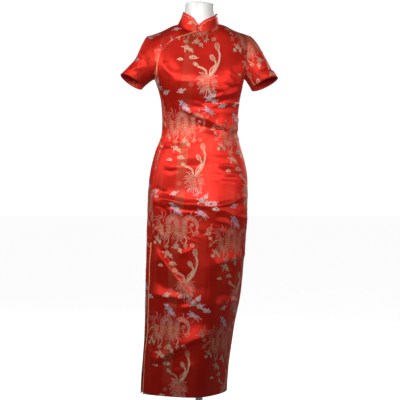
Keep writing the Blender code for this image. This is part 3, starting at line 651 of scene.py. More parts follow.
# The crease pressed down the middle of the front, and the hips' overhang, which add to the rest.
FRONT_PRESSED = [
    (2.2, 12, 12, (80, 1018), (74, 960), (69, 883), (50, 745), (43, 682)),
    (21.0, 100, 84, (64, 931), (59, 848), (53, 765), (38, 640), (28, 510), (15, 310), (5, 120),
     (-2, -42)),
    (8.0, 10, 110, (-183, 793), (-141, 784), (-93, 777), (-38, 765), (10, 757), (59, 755)),
]
FRONT_DRAGS = [
    (2.6, (86, 1159), 90, 38, 14, 13),
    (2.2, (-10, 1117), 104, 31, -6, 12),
    (2.2, (121, 1103), 55, 31, 4, 11),
    (2.0, (-121, 1134), 41, 48, 28, 12),
    (2.4, (128, 1014), 52, 28, 6, 12),
    (1.6, (-93, 969), 76, 28, 6, 14),
    (1.3, (100, 883), 83, 62, -4, 17),
    (1.8, (-48, 765), 152, 28, -6, 14),
    (1.8, (107, 734), 83, 41, 12, 14),
    (1.5, (-79, 441), 124, 31, -4, 14),
    (1.5, (93, 441), 62, 34, 8, 14),
    (1.2, (-52, 676), 97, 48, -20, 22),
    (1.2, (-79, 182), 117, 55, 24, 22),
    (1.4, (38, 993), 34, 48, 80, 12),
]


def seen_from_front(places):
    """Where points appear on the upright plane through the stand, looked at from the front."""
    share = -EYE.y / (places[:, 1] - EYE.y)
    return np.stack([EYE.x + (places[:, 0] - EYE.x) * share,
                     EYE.z + (places[:, 2] - EYE.z) * share], axis=1)


def seen_flat(places):
    return places[:, [0, 2]]


def heading_at(degrees):
    return math.cos(math.radians(degrees)), math.sin(math.radians(degrees))


def smooth_share(value):
    """0 to 1, with a soft start and end."""
    value = np.clip(value, 0.0, 1.0)
    return value * value * (3 - 2 * value)


def crease_rise(seen, creases, bend=SOFT_BEND):
    """How far all creases together move the cloth out at each point."""
    ridge, trough = np.zeros(len(seen)), np.zeros(len(seen))
    for number, (height, left, right, *points) in enumerate(creases):
        run = np.array(points) / 1000
        lengths = np.linalg.norm(np.diff(run, axis=0), axis=1)
        whole = lengths.sum()
        nearest = np.full(len(seen), 9.0)
        side, along = np.zeros(len(seen)), np.zeros(len(seen))
        for i, length in enumerate(lengths):
            way = (run[i + 1] - run[i]) / length
            offset = seen - run[i]
            reach = np.clip(offset @ way, 0, length)
            apart = offset - reach[:, None] * way
            distance = np.linalg.norm(apart, axis=1)
            closer = distance < nearest
            nearest = np.where(closer, distance, nearest)
            side = np.where(closer, way[0] * offset[:, 1] - way[1] * offset[:, 0], side)
            along = np.where(closer, (lengths[:i].sum() + reach) / whole, along)
        width = np.where(side > 0, left, right) / 1000
        rounded = np.sqrt(nearest ** 2 + FOLD_RADIUS ** 2) - FOLD_RADIUS
        fall = np.clip(1 - rounded / (FOLD_REACH * width), 0, 1) ** bend
        fade = smooth_share(along / FOLD_FADE) * smooth_share((1 - along) / FOLD_FADE)
        uneven = 0.85 + 0.15 * np.sin(along * (9 + number % 5) + number)
        rise = height / 1000 * fall * (0.12 + 0.88 * fade) * uneven
        ridge = np.maximum(ridge, rise)
        trough = np.minimum(trough, rise)
    return ridge + trough


def drag_rise(seen, drags, seed):
    """Fine forked wrinkles along each drag, as a height at each point."""
    rise = np.zeros(len(seen))
    for number, (height, middle, reach, half, angle, pitch) in enumerate(drags):
        way = np.array(heading_at(angle))
        offset = seen * 1000 - np.array(middle)
        along, across = offset @ way, offset @ np.array([-way[1], way[0]])
        inside = smooth_share(1.6 * (1 - np.hypot(along / reach, across / half)))
        for i in np.flatnonzero(inside):
            value = noise.noise(Vector((along[i] / (pitch * 6), across[i] / pitch,
                                        seed + number * 7.3)))
            rise[i] += height / 1000 * inside[i] * ((1 - min(1, abs(value) * 2.4)) ** 1.5 - 0.4)
    return rise


def soft_unevenness(places, size, height, seed):
    """Slow swells of a cloth that was worn and hung, as a height at each point."""
    shift = Vector((seed * 3.7, seed * 1.3, seed * 5.1))
    return np.array([height * noise.noise(Vector(place) / size + shift) for place in places])


def crease_cloth(piece, creases, view, hold=None, seed=1.0, drags=(), pressed=()):
    """Moves the cloth in and out by its creases and swells. hold keeps given points still."""
    places, out = coordinates(piece), outward(piece)
    rise = crease_rise(view(places), creases) + drag_rise(view(places), drags, seed)
    rise += crease_rise(view(places), pressed, bend=PRESSED_BEND)
    rise += soft_unevenness(places * np.array([1, 1, 0.7]), 0.045, 0.0010, seed)
    rise += soft_unevenness(places, 0.018, 0.00035, seed + 2)
    if hold is not None:
        rise *= hold(places)
    set_coordinates(piece, places + out * rise[:, None])


def edge_points(piece, chosen):
    """The sheet's rim points that a test on their place chooses."""
    cloth = opened(piece)
    found = [vertex.co.copy() for vertex in cloth.verts if vertex.is_boundary and chosen(vertex.co)]
    cloth.free()
    return np.array(found)


def distance_to(points, places):
    """The distance from each place to the nearest of the points."""
    nearest = np.full(len(places), 9.0)
    for start in range(0, len(points), 64):
        part = points[start:start + 64]
        apart = np.linalg.norm(places[:, None, :] - part[None, :, :], axis=2).min(axis=1)
        nearest = np.minimum(nearest, apart)
    return nearest


def thicken(piece, wall):
    """Gives the sheet its thickness, inward."""
    solid = piece.modifiers.new("Wall", "SOLIDIFY")
    solid.thickness = wall
    solid.offset = -1
    apply_modifiers(piece)


# ================================================================ the front
# One panel of brocade with bust and waist darts, cut in one with the curved overlap that crosses
# to the wearer's right underarm. It is sewn to the back down to the side slits.

front = outer_sheet("front_panel", "front")
lay_flat(front, up=(0.09, 0, 1), across=(1, 0, 0))
refine(front)
crease_cloth(front, FRONT_CREASES, seen_from_front, seed=1.0, drags=FRONT_DRAGS,
             pressed=FRONT_PRESSED)


# ================================================================ the small right front
# The piece under the overlap, from the neck and shoulder to the wearer's right armhole. It runs
# on under the arm to the side seam, and its curved edge lies out of sight below the front.

FLAP_CREASES = [
    (1.4, 6, 6, (-62, 1352), (-88, 1330), (-112, 1316)),
    (-1.4, 7, 7, (-120, 1338), (-136, 1306), (-146, 1270)),
]
UNDER_ARM = [((-153.4, -34.0, 1206.0), (-137.0, -62.0, 1200.0)),
             ((-153.6, -9.0, 1195.5), (-140.0, -44.0, 1184.0))]


def run_on_under_arm(piece):
    """Lengthens the piece below its foot, down the armhole and behind the front."""
    cloth = opened(piece)
    foot = [vertex for vertex in cloth.verts
            if vertex.is_boundary and vertex.co.z < 1.2215 and vertex.co.x < -0.128]
    foot.sort(key=lambda vertex: vertex.co.x)
    shares = [(vertex.co.x - foot[0].co.x) / (foot[-1].co.x - foot[0].co.x) for vertex in foot]
    for outer, inner in UNDER_ARM:
        below = [cloth.verts.new(Vector(outer).lerp(Vector(inner), share) / 1000)
                 for share in shares]
        for a, b, c, d in zip(foot, foot[1:], below[1:], below):
            cloth.faces.new((a, b, c, d))
        foot = below
    bmesh.ops.recalc_face_normals(cloth, faces=cloth.faces)
    cloth.to_mesh(piece.data)
    cloth.free()


flap = outer_sheet("under_flap", "right_front")
run_on_under_arm(flap)
lay_flat(flap, up=(0.05, 0, 1), across=(1, 0, 0))
refine(flap)
crease_cloth(flap, FLAP_CREASES, seen_from_front, seed=4.0)


# ================================================================ the back
# One panel, shaped by two long waist darts, sewn to the front and the right front at shoulders
# and sides. The seat and the slits leave slack folds.

BACK_CREASES = [
    (2.6, 14, 10, (-112, 1062), (-40, 1046), (50, 1064)),
    (-2.4, 9, 9, (-90, 1036), (-20, 1024), (70, 1034)),
    (3.0, 16, 9, (-60, 1006), (10, 996), (104, 1018)),
    (2.2, 12, 10, (20, 1090), (70, 1082), (120, 1098)),
    (1.8, 14, 14, (-84, 1310), (-78, 1260), (-92, 1205)),
    (1.8, 14, 14, (88, 1312), (80, 1262), (96, 1205)),
    (2.2, 12, 10, (-148, 1240), (-110, 1216), (-70, 1206)),
    (2.2, 12, 10, (150, 1236), (112, 1212), (74, 1204)),
    (4.0, 24, 10, (-160, 806), (-70, 790), (30, 796), (150, 784)),
    (-3.0, 9, 12, (-110, 760), (-10, 746), (104, 756)),
    (4.2, 16, 8, (-150, 700), (-80, 712), (-10, 730)),
    (3.6, 16, 8, (146, 690), (90, 706), (30, 726)),
    (3.0, 14, 14, (64, 700), (50, 560), (24, 400), (0, 240)),
    (3.0, 16, 14, (-70, 690), (-86, 520), (-104, 360), (-124, 200)),
    (4.6, 22, 8, (-172, 470), (-100, 448), (-30, 444), (30, 456)),
    (-3.2, 8, 10, (-120, 436), (-50, 428), (20, 438)),
    (4.0, 9, 26, (120, 590), (70, 540), (30, 490)),
    (4.6, 28, 8, (36, 330), (-30, 280), (-110, 236), (-176, 214)),
    (2.6, 12, 12, (70, 330), (40, 250), (28, 150)),
]

back = outer_sheet("back_panel", "back")
lay_flat(back, up=(0.09, 0, 1), across=(-1, 0, 0))
refine(back)
crease_cloth(back, BACK_CREASES, seen_flat, seed=7.0)


# ================================================================ the sleeves
# Short set-in sleeves, each cut in one with a seam below the arm. The cuff is turned in 18 mm and
# blind-stitched, which leaves a faint line. No arm fills them, so they fold softly.

SLEEVE_CREASES = {
    "right": [
        (3.8, 9, 5, (-207, 1300), (-190, 1283), (-169, 1255)),
        (-2.6, 6, 6, (-162, 1269), (-166, 1241), (-172, 1214)),
        (2.8, 10, 8, (-245, 1221), (-221, 1241), (-183, 1248)),
        (-2.2, 8, 8, (-214, 1276), (-228, 1248), (-224, 1221)),
    ],
    "left": [
        (-3.0, 5, 7, (166, 1290), (176, 1262), (190, 1234)),
        (5.0, 8, 9, (166, 1262), (190, 1234), (217, 1207)),
        (-5.0, 8, 8, (266, 1245), (238, 1233), (204, 1224)),
        (3.6, 8, 10, (269, 1224), (238, 1214), (210, 1197)),
        (2.6, 9, 9, (210, 1304), (224, 1276), (231, 1255)),
    ],
}
CUFF_TURN_IN = 0.018
SEAM_CALM = 0.02    # distance from a sleeve's rims within which its creases die away


def on_cuff(place):
    return abs(place.x) > 0.179 and place.z < 1.235


sleeves = {}
for side, sign in (("right", -1), ("left", 1)):
    sleeve = outer_sheet(f"sleeve_{side}", f"{side}_sleeve",
                         centre=lambda height: Vector((sign * 0.2, 0, height)))
    ends = coordinates(sleeve)
    middle_line = np.polyfit(ends[:, 0], ends[:, 2], 1)
    lay_flat(sleeve, up=(-sign * 0.75, 0, 0.66), across=(sign * 0.66, 0, 0.75),
             seam=lambda co: abs(co.y) < 0.002 and co.z < np.polyval(middle_line, co.x))
    refine(sleeve)
    cuff = edge_points(sleeve, on_cuff)
    armhole = edge_points(sleeve, lambda co: not on_cuff(co))
    crease_cloth(sleeve, SLEEVE_CREASES[side], seen_from_front, seed=11.0 + sign,
                 hold=lambda places: smooth_share(distance_to(armhole, places) / SEAM_CALM)
                 * (0.35 + 0.65 * smooth_share(distance_to(cuff, places) / SEAM_CALM)))
    from_cuff = distance_to(cuff, coordinates(sleeve))
    groove = 0.0005 * np.exp(-(((from_cuff - CUFF_TURN_IN) / 0.0022) ** 2))
    set_coordinates(sleeve, coordinates(sleeve) - outward(sleeve) * groove[:, None])
    sleeves[side] = sleeve


# ================================================================ the stand collar
# Two layers of brocade on stiffening, sewn round the neckline, with rounded ends that meet at the
# throat.

collar = outer_sheet("collar", "stand_collar", SOLID_COLLAR_WALL,
                     centre=lambda height: Vector((0, 0, height)))
lay_flat(collar, up=(0, 0, 1), across=(1, 0, 0))
refine(collar)


# ================================================================ the seams
# Shoulders, sides, armholes and neckline are sewn right sides together, so that the two edges meet
# in a fine valley. Each piece gets its cloth's thickness here.

SLIT_TOP = 0.665
RIM_SPACING = 0.0006
SEAM_REACH = 0.007      # widest gap between two edges that are sewn together
SEAM_WIDTH = 0.0055     # how far from its edge a sewn piece is drawn along
SEAM_DEPTH = 0.0004     # how deep the valley is
PUCKER_SIZE = 0.011
STEADY_REACH = 0.005    # stretch of an edge that is drawn alike
FOOT_WIDTH, FOOT_DOWN, FOOT_OUT = 0.004, 0.0020, 0.0008    # the collar's foot over its seam
END_WIDTH, END_SHIFT = 0.007, 0.0016    # the collar's right end, drawn to the other one


def rim_edges(cloth):
    """Each rim edge of an open mesh, with its middle and the way from there into the cloth."""
    for edge in cloth.edges:
        if edge.is_boundary:
            middle = (edge.verts[0].co + edge.verts[1].co) / 2
            yield edge, middle, edge.link_faces[0].calc_center_median() - middle


def rim_spots(piece):
    """Closely spaced points along the piece's sewn edges: slits and hem are not sewn."""
    cloth = opened(piece)
    found = []
    for edge, middle, _ in rim_edges(cloth):
        if middle.z > SLIT_TOP:
            number = math.ceil(edge.calc_length() / RIM_SPACING)
            found += [edge.verts[0].co.lerp(edge.verts[1].co, k / number) for k in range(number)]
    cloth.free()
    return np.array(found)


def foot_of(piece):
    """The points of a piece's rim whose cloth lies above them."""
    cloth = opened(piece)
    found = [vertex.co.copy() for edge, _, inward in rim_edges(cloth)
             if inward.normalized().z > 0.5 for vertex in edge.verts]
    cloth.free()
    return np.array(found)


def tree_of(points):
    """Finds the nearest of the points to a place."""
    tree = KDTree(len(points))
    for number, point in enumerate(points):
        tree.insert(point, number)
    tree.balance()
    return tree


def drawn_in(piece, others, only_at=None):
    """How each point of a piece moves as its sewn edges are drawn to the others' edges."""
    tree = tree_of(others)
    cloth = opened(piece)
    rim = [vertex for vertex in cloth.verts if vertex.is_boundary]
    if only_at is not None:
        apart = distance_to(only_at, np.array([vertex.co for vertex in rim]))
        rim = [vertex for vertex, distance in zip(rim, apart) if distance < 0.0015]
    pulls = []
    for vertex in rim:
        near, _, distance = tree.find(vertex.co)
        if distance < SEAM_REACH:
            pucker = 1 + 1.1 * noise.noise(vertex.co / PUCKER_SIZE)
            pulls.append((vertex.co.copy(),
                          (near - vertex.co) * 0.52 - vertex.normal * SEAM_DEPTH * pucker))
    cloth.free()
    moves = np.zeros((len(piece.data.vertices), 3))
    if pulls:
        rims = tree_of([place for place, _ in pulls])
        steady = [np.mean([pulls[i][1] for _, i, _ in rims.find_range(place, STEADY_REACH)],
                          axis=0) for place, _ in pulls]
        for number, place in enumerate(coordinates(piece)):
            _, _, distance = rims.find(Vector(place))
            if distance < 3 * SEAM_WIDTH:
                near = rims.find_range(Vector(place), distance + STEADY_REACH / 2)
                pull = np.mean([steady[i] for _, i, _ in near], axis=0)
                moves[number] = pull * math.exp(-((distance / SEAM_WIDTH) ** 2))
    return moves


cloth_pieces = {"front": front, "flap": flap, "back": back, "collar": collar,
                "sleeve_right": sleeves["right"], "sleeve_left": sleeves["left"]}
for _ in range(3):
    rims = {name: rim_spots(piece) for name, piece in cloth_pieces.items()}
    rims["collar"] = foot_of(collar)
    moved = {}
    for name, piece in cloth_pieces.items():
        others = np.concatenate([rims[other] for other in rims if other != name])
        moved[name] = drawn_in(piece, others, only_at=rims["collar"] if name == "collar" else None)
    for name, piece in cloth_pieces.items():
        set_coordinates(piece, coordinates(piece) + moved[name])
# The collar stands on the seam and hides it, and its two ends meet under the knot.
places = coordinates(collar)
at_foot = np.exp(-((distance_to(foot_of(collar), places) / FOOT_WIDTH) ** 2))
places += outward(collar) * (FOOT_OUT * at_foot)[:, None] - np.outer(at_foot, (0, 0, FOOT_DOWN))
at_end = np.exp(-((np.maximum(places[:, 0], 0) / END_WIDTH) ** 2)) * (places[:, 0] > 0)
places[:, 0] -= END_SHIFT * at_end * (places[:, 1] < -0.03)
set_coordinates(collar, places)


Sheet = namedtuple("Sheet", "places normals corners flat tree")


def sheet_of(piece):
    """What lies on a sheet finds its place by this: the flat pattern and the sheet in space."""
    corners, flat = triangles(piece)
    points = [Vector((u, v, 0)) for u, v in flat.reshape(-1, 2)]
    order = np.arange(len(points)).reshape(-1, 3).tolist()
    tree = BVHTree.FromPolygons(points, order)
    return Sheet(coordinates(piece), outward(piece), corners, flat, tree)


def rim_chain(piece, chosen):
    """Places, outward directions and directions off the rim, in order along the chosen rim."""
    cloth = opened(piece)
    cloth.normal_update()
    links = {}
    for edge, middle, inward in rim_edges(cloth):
        if chosen(middle, inward):
            for a, b in (edge.verts, reversed(edge.verts)):
                links.setdefault(a.index, []).append((b.index, inward.normalized()))
    ends = [i for i in links if len(links[i]) == 1] or [next(iter(links))]
    order = []
    for start in ends:
        run, ahead = [start], [i for i, _ in links[start]]
        while ahead:
            run.append(ahead[0])
            ahead = [i for i, _ in links[run[-1]] if i not in run]
        order = max(order, run, key=len)
    cloth.verts.ensure_lookup_table()
    rim = []
    for i in order:
        vertex = cloth.verts[i]
        inward = sum((way for _, way in links[i]), Vector())
        inward -= vertex.normal * inward.dot(vertex.normal)
        rim.append((vertex.co.copy(), vertex.normal.copy(), -inward.normalized()))
    cloth.free()
    return rim


def eased(rim, spacing):
    """The rim's points evenly spaced, on a smooth line."""
    lengths = [0.0]
    for a, b in zip(rim, rim[1:]):
        lengths.append(lengths[-1] + (b[0] - a[0]).length)
    number = max(2, round(lengths[-1] / spacing))
    wanted = np.linspace(0, lengths[-1], number + 1)
    columns = np.array([[*place, *out, *off] for place, out, off in rim])
    kernel = np.hanning(13)[1:-1]
    smooth = columns.copy()
    for k in range(columns.shape[1]):
        padded = np.pad(columns[:, k], 5, mode="reflect", reflect_type="odd")
        smooth[:, k] = np.convolve(padded, kernel / kernel.sum(), mode="valid")
    smooth[0], smooth[-1] = columns[0], columns[-1]
    found = [np.interp(wanted, lengths, smooth[:, k]) for k in range(9)]
    rows = np.array(found).T
    return [(Vector(row[:3]), Vector(row[3:6]).normalized(), Vector(row[6:]).normalized())
            for row in rows]


sheets = {name: sheet_of(piece) for name, piece in cloth_pieces.items()}
CORD_STEP, SLIT_CORD_STEP = 0.003, 0.004
OPENING_FOOT, OPENING_START = 1.196, -0.006    # its lowest height, and its place at the throat
SLIT_PIPING = (0.1235, 0.642)    # heights that it runs between
COLLAR_EDGE = eased(rim_chain(
    collar, lambda middle, inward: inward.z < 0.5 * inward.length), CORD_STEP)
OPENING_EDGE = eased(rim_chain(
    front, lambda middle, inward: middle.z > OPENING_FOOT and middle.x < OPENING_START), CORD_STEP)
SLIT_EDGES = {side: eased(rim_chain(front, lambda middle, inward: (
    SLIT_PIPING[0] < middle.z < SLIT_PIPING[1] and sign * (middle.x + 0.05) > 0.05)),
    SLIT_CORD_STEP) for side, sign in (("right", -1), ("left", 1))}
for name, piece in cloth_pieces.items():
    thicken(piece, COLLAR_WALL if name == "collar" else WALL)
    paint(piece, brocade)
for name, node, cut, held, on, area in (
        ("front", "front_panel", (0.46, 1.27), "hung", ["torso"], 0.49),
        ("flap", "under_flap", (0.16, 0.20), "laid", ["torso"], 0.0185),
        ("back", "back_panel", (0.50, 1.29), "hung", ["torso"], 0.55),
        ("collar", "collar", (0.42, 0.062), "stretched", ["torso"], 0.0161),
        ("sleeve_right", "sleeve_right", (0.40, 0.13), "hung", ["front", "back"], 0.0385),
        ("sleeve_left", "sleeve_left", (0.40, 0.13), "hung", ["front", "back"], 0.0385)):
    belongs(cloth_pieces[name], "brocade", node)
    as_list(on)


# ================================================================ the woven pattern
# Extra wefts float over the satin and draw a coiled dragon, a phoenix, clouds, coins and blossoms.
# The weft changes colour up the cloth, so each part of the repeat has its own thread.

REPEAT = 0.349         # height of one repeat of the pattern
REPEAT_ACROSS = 0.205  # its width
REPEAT_DROP = 0.028    # how much lower each repeat hangs than the one on its left
REPEAT_LOW, REPEAT_HIGH = -240, 160    # millimetres that the threads' colours run between
FLOAT_STEP = 0.0025    # distance between points along a float
FLOAT_RISE = 0.0004    # how far a float's middle stands off the satin
FLOAT_EDGE = 0.00008   # how far its edges do
RIM_SLACK = 0.0003     # how far over a sheet's rim a float may run

# A line of the pattern is a width and its points, in millimetres.


def arc(x, z, across, up, start=0, turn=360, tilt=0):
    """Points on an oval round a middle, in millimetres and degrees."""
    number = max(5, round(abs(turn) / 30))
    c, s = heading_at(tilt)
    found = []
    for k in range(number + 1):
        angle = math.radians(start + turn * k / number)
        a, b = across * math.cos(angle), up * math.sin(angle)
        found.append((x + a * c - b * s, z + a * s + b * c))
    return found


def along_curve(points, step):
    """A smooth curve through the points, as points a step apart."""
    points = [np.array(point, dtype=float) for point in points]
    ends = [2 * points[0] - points[1]] + points + [2 * points[-1] - points[-2]]
    found = []
    for a, b, c, d in zip(ends, ends[1:], ends[2:], ends[3:]):
        number = max(1, math.ceil(np.linalg.norm(c - b) / step))
        for k in range(number):
            t = k / number
            found.append(0.5 * (2 * b + (c - a) * t + (2 * a - 5 * b + 4 * c - d) * t * t
                                + (3 * b - a - 3 * c + d) * t ** 3))
    return np.array(found + [points[-1]])


def directions(points):
    """The way along a line at each of its points, and the way to its left."""
    ahead = np.gradient(points, axis=0)
    ahead /= np.maximum(np.linalg.norm(ahead, axis=1), 1e-9)[:, None]
    return ahead, np.stack([-ahead[:, 1], ahead[:, 0]], axis=1)


def striped(spine, widths, pitch=3.4, bow=2.5):
    """A body drawn as two outlines with bowed stripes across it."""
    middle = along_curve(spine, pitch)
    heading, aside = directions(middle)
    half = np.interp(np.linspace(0, 1, len(middle)), np.linspace(0, 1, len(widths)), widths)
    lines = [(1.5, middle + aside * half[:, None]), (1.5, middle - aside * half[:, None])]
    for place, ahead, beside, reach in zip(middle[1:-1], heading[1:-1], aside[1:-1], half[1:-1]):
        if reach > 1.6:
            lines.append((2.1, [place + beside * reach * 0.8, place + ahead * bow,
                                place - beside * reach * 0.8]))
    return lines


def blossom(x, z, size, turn=20, leaves=()):
    """A flower seen from the front: filled petals round a heart, with a leaf at given angles."""
    lines = [(1.6, arc(x, z, size * 0.22, size * 0.22))]
    for k in range(5):
        c, s = heading_at(turn + 360 * k / 5)
        lines.append((2.0, arc(x + size * 0.62 * c, z + size * 0.62 * s,
                               size * 0.36, size * 0.28, tilt=turn + 360 * k / 5)))
        lines.append((1.9, [(x + size * 0.40 * c, z + size * 0.40 * s),
                            (x + size * 0.86 * c, z + size * 0.86 * s)]))
    for way in leaves:
        c, s = heading_at(way)
        for bend in (0.22, -0.06):
            lines.append((2.0, [(x + size * reach * c - size * side * s,
                                 z + size * reach * s + size * side * c)
                                for reach, side in ((1.05, 0), (1.4, bend), (1.85, 0.1))]))
    return lines


def cloud(x, z, size, facing=1):
    """A flat-footed cloud of three curls with a drawn-out end."""
    lines = []
    for dx, dz, r in ((-0.75, 0.0, 0.42), (0.0, 0.22, 0.55), (0.72, 0.02, 0.40)):
        for share, turn in ((1.0, 300), (0.5, 330)):
            reach = r * size * share
            lines.append((1.8, arc(x + facing * dx * size, z + dz * size, reach * facing,
                                   reach, start=-40, turn=turn)))
    lines.append((1.9, [(x - facing * 1.2 * size, z - 0.35 * size), (x, z - 0.45 * size),
                        (x + facing * 1.1 * size, z - 0.3 * size),
                        (x + facing * 1.75 * size, z + 0.05 * size)]))
    return lines


def coin(x, z, size, tilt=0):
    """A ring with a square hole."""
    hole = [(x - 0.3 * size, z), (x, z + 0.3 * size), (x + 0.3 * size, z), (x, z - 0.3 * size),
            (x - 0.3 * size, z)]
    return [(1.7, arc(x, z, size, size * 0.8, tilt=tilt)), (1.2, hole)]


def fan(x, z, angles, inner, outer, width=1.8, droop=3.0):
    """Feathers or flames that spread from a middle, bent a little downward."""
    lines = []
    for k, angle in enumerate(angles):
        c, s = heading_at(angle)
        reach = outer * (0.86 + 0.14 * ((k * 7) % 3))
        lines.append((width, [(x + inner * c, z + inner * s),
                              (x + (inner + reach) / 2 * c, z + (inner + reach) / 2 * s + 1.0),
                              (x + reach * c, z + reach * s - droop)]))
    return lines


def plume(points, eye, size, tilt):
    """A long tail feather that ends in a ringed eye."""
    x, z = eye
    barbs = along_curve(points, 5.0)
    lines = [(3.2, points), (2.2, arc(x, z, size * 0.62, size, tilt=tilt)),
             (1.8, arc(x, z, size * 0.30, size * 0.55, tilt=tilt)),
             (1.8, [(x, z - size * 0.25), (x, z + size * 0.25)])]
    for place, ahead, side in list(zip(barbs, *directions(barbs)))[1:-1]:
        for sign in (-1, 1):
            lines.append((1.5, [place + side * sign * 1.2,
                                place + side * sign * 4.2 + ahead * 2.6]))
    return lines


def locks(starts, ends, bow, width=1.7):
    """Hair or flames that trail from one row of points to another, each bent in the middle."""
    lines = []
    for k, (start, end) in enumerate(zip(starts, ends)):
        start, end = np.array(start, dtype=float), np.array(end, dtype=float)
        side = np.array([start[1] - end[1], end[0] - start[0]])
        side *= bow * (1 - 2 * (k % 2)) / max(np.linalg.norm(side), 1e-6)
        lines.append((width, [start, start + (end - start) * 0.35 + side,
                              start + (end - start) * 0.7 - side * 0.6, end]))
    return lines


def dragon():
    """A dragon: one body, over and under in coils from the tail's tip at the right to the neck."""
    lines = striped([(100, 22), (101, 40), (90, 58), (72, 64), (60, 52), (61, 30), (60, 10),
                     (48, -4), (35, 4), (34, 24), (33, 46), (21, 62), (7, 54), (5, 34), (7, 12),
                     (-3, -6), (-17, -2), (-22, 16), (-20, 36)],
                    [1.5, 4, 6.5, 8, 9, 9, 9.5, 10, 10, 10, 10, 10, 10, 10, 10, 9.5, 9, 8.5, 7.5],
                    pitch=3.1)
    lines += fan(100, 22, (-20, -50, -80, -110), 0, 13, 1.9, 0)
    # head, jaw, horns, whiskers, eye and beard
    lines += [(2.3, [(-26, 36), (-30, 46), (-40, 50), (-50, 48), (-56, 53)]),
              (2.3, [(-14, 44), (-18, 58), (-30, 64), (-42, 60), (-54, 60)]),
              (1.8, [(-26, 50), (-38, 56), (-48, 54)]), (1.8, arc(-27, 57, 2.6, 2.0)),
              (2.0, [(-16, 58), (-8, 66), (-8, 76)]),
              (2.0, [(-22, 62), (-20, 72), (-26, 80)]),
              (1.5, [(-54, 60), (-60, 70), (-56, 80)]),
              (1.5, [(-55, 52), (-64, 46), (-66, 34)])]
    lines += fan(-22, 46, (196, 214, 232, 250), 9, 26, 1.8)
    # the mane, and flames between and outside the coils
    lines += locks([(-8, 50), (-10, 40), (-12, 30), (-12, 20), (-10, 10)],
                   [(-2, 62), (-2, 44), (-6, 30), (-4, 18), (-2, 4)], 2.0)
    lines += locks([(20, 46), (20, 36), (20, 26), (20, 16), (22, 6), (22, -4)],
                   [(22, 30), (18, 22), (22, 12), (17, 2), (20, -12), (28, -14)], 2.2)
    lines += locks([(47, 50), (47, 40), (48, 30), (47, 20), (48, 10)],
                   [(46, 64), (50, 28), (46, 18), (50, 8), (46, 14)], 2.2)
    lines += locks([(14, 74), (28, 72), (42, 64), (76, 74), (92, 68), (104, 56)],
                   [(8, 86), (30, 86), (52, 76), (80, 86), (102, 80), (116, 64)], 2.2)
    lines += locks([(-30, 20), (-28, 6), (-20, -10), (-4, -16), (38, -12), (54, -14), (68, 0),
                    (72, 16)],
                   [(-44, 14), (-42, -4), (-32, -20), (-10, -30), (34, -28), (60, -26), (82, -6),
                    (84, 16)], 2.2)
    # legs with spread claws
    for knee, paw, spread in ((((72, 36), (82, 28)), (90, 12), (50, 10, -30, -70, -110)),
                              (((-30, 26), (-42, 24)), (-52, 12), (160, 195, 230, 265)),
                              (((4, 0), (8, -18)), (0, -34), (200, 235, 270, 305, 340)),
                              (((60, 4), (70, -10)), (66, -26), (-10, -45, -80, -115))):
        lines.append((3.4, [*knee, paw]))
        lines += fan(*paw, spread, 2, 12, 2.1, 1.0)
    lines += [(2.4, arc(84, 40, 5.0, 5.0)), (2.2, arc(84, 40, 1.8, 1.8))]
    return lines


def phoenix():
    """A phoenix seen from above, with its head down and its tail feathers up."""
    lines = plume([(82, -152), (99, -132), (109, -104), (111, -78), (105, -62)], (102, -50), 11, 12)
    lines += plume([(80, -152), (92, -134), (101, -112), (97, -98)], (89, -90), 10, 35)
    lines += plume([(76, -150), (70, -134), (56, -126), (44, -124)], (38, -116), 8, 60)
    # two broad leaf-shaped feathers
    lines += [(2.4, [(83, -149), (84, -132), (94, -118), (100, -110)]),
              (2.4, [(83, -149), (96, -138), (101, -124), (100, -110)]),
              (1.6, [(85, -145), (92, -132), (97, -118)])]
    lines += striped([(80, -150), (77, -166), (79, -182), (86, -196)], [3, 10, 10, 5], bow=-2.5)
    # wings
    lines += fan(74, -162, (100, 118, 134, 150, 166, 182, 198, 214), 6, 30, 1.9, 4.0)
    lines += fan(84, -164, (76, 58, 40, 22, 4, -14, -30), 6, 28, 1.9, 4.0)
    lines += fan(74, -176, (140, 158, 176, 194, 212), 6, 25, 1.8, 5.0)
    lines += fan(86, -178, (40, 22, 4, -14, -32), 6, 24, 1.8, 5.0)
    lines += fan(78, -190, (170, 190, 210, 232), 6, 20, 1.7, 4.0)
    lines += fan(86, -192, (10, -10, -32, -54), 6, 20, 1.7, 4.0)
    # neck, head, beak and crest
    lines += [(3.4, [(84, -194), (92, -202), (92, -212)]), (2.4, arc(91, -216, 4.5, 3.8)),
              (1.8, [(87, -217), (79, -220)])]
    lines += fan(93, -214, (80, 50, 20), 4, 14, 1.6, 0)
    # small feathers over the back and between the wings
    lines += locks([(66, -160), (64, -172), (66, -184), (70, -196), (92, -162), (96, -174),
                    (94, -186)],
                   [(48, -166), (46, -180), (50, -196), (58, -210), (112, -168), (114, -182),
                    (108, -198)], 2.0)
    lines += fan(80, -182, (232, 250, 268, 286, 304), 10, 30, 1.8, 0)
    return lines


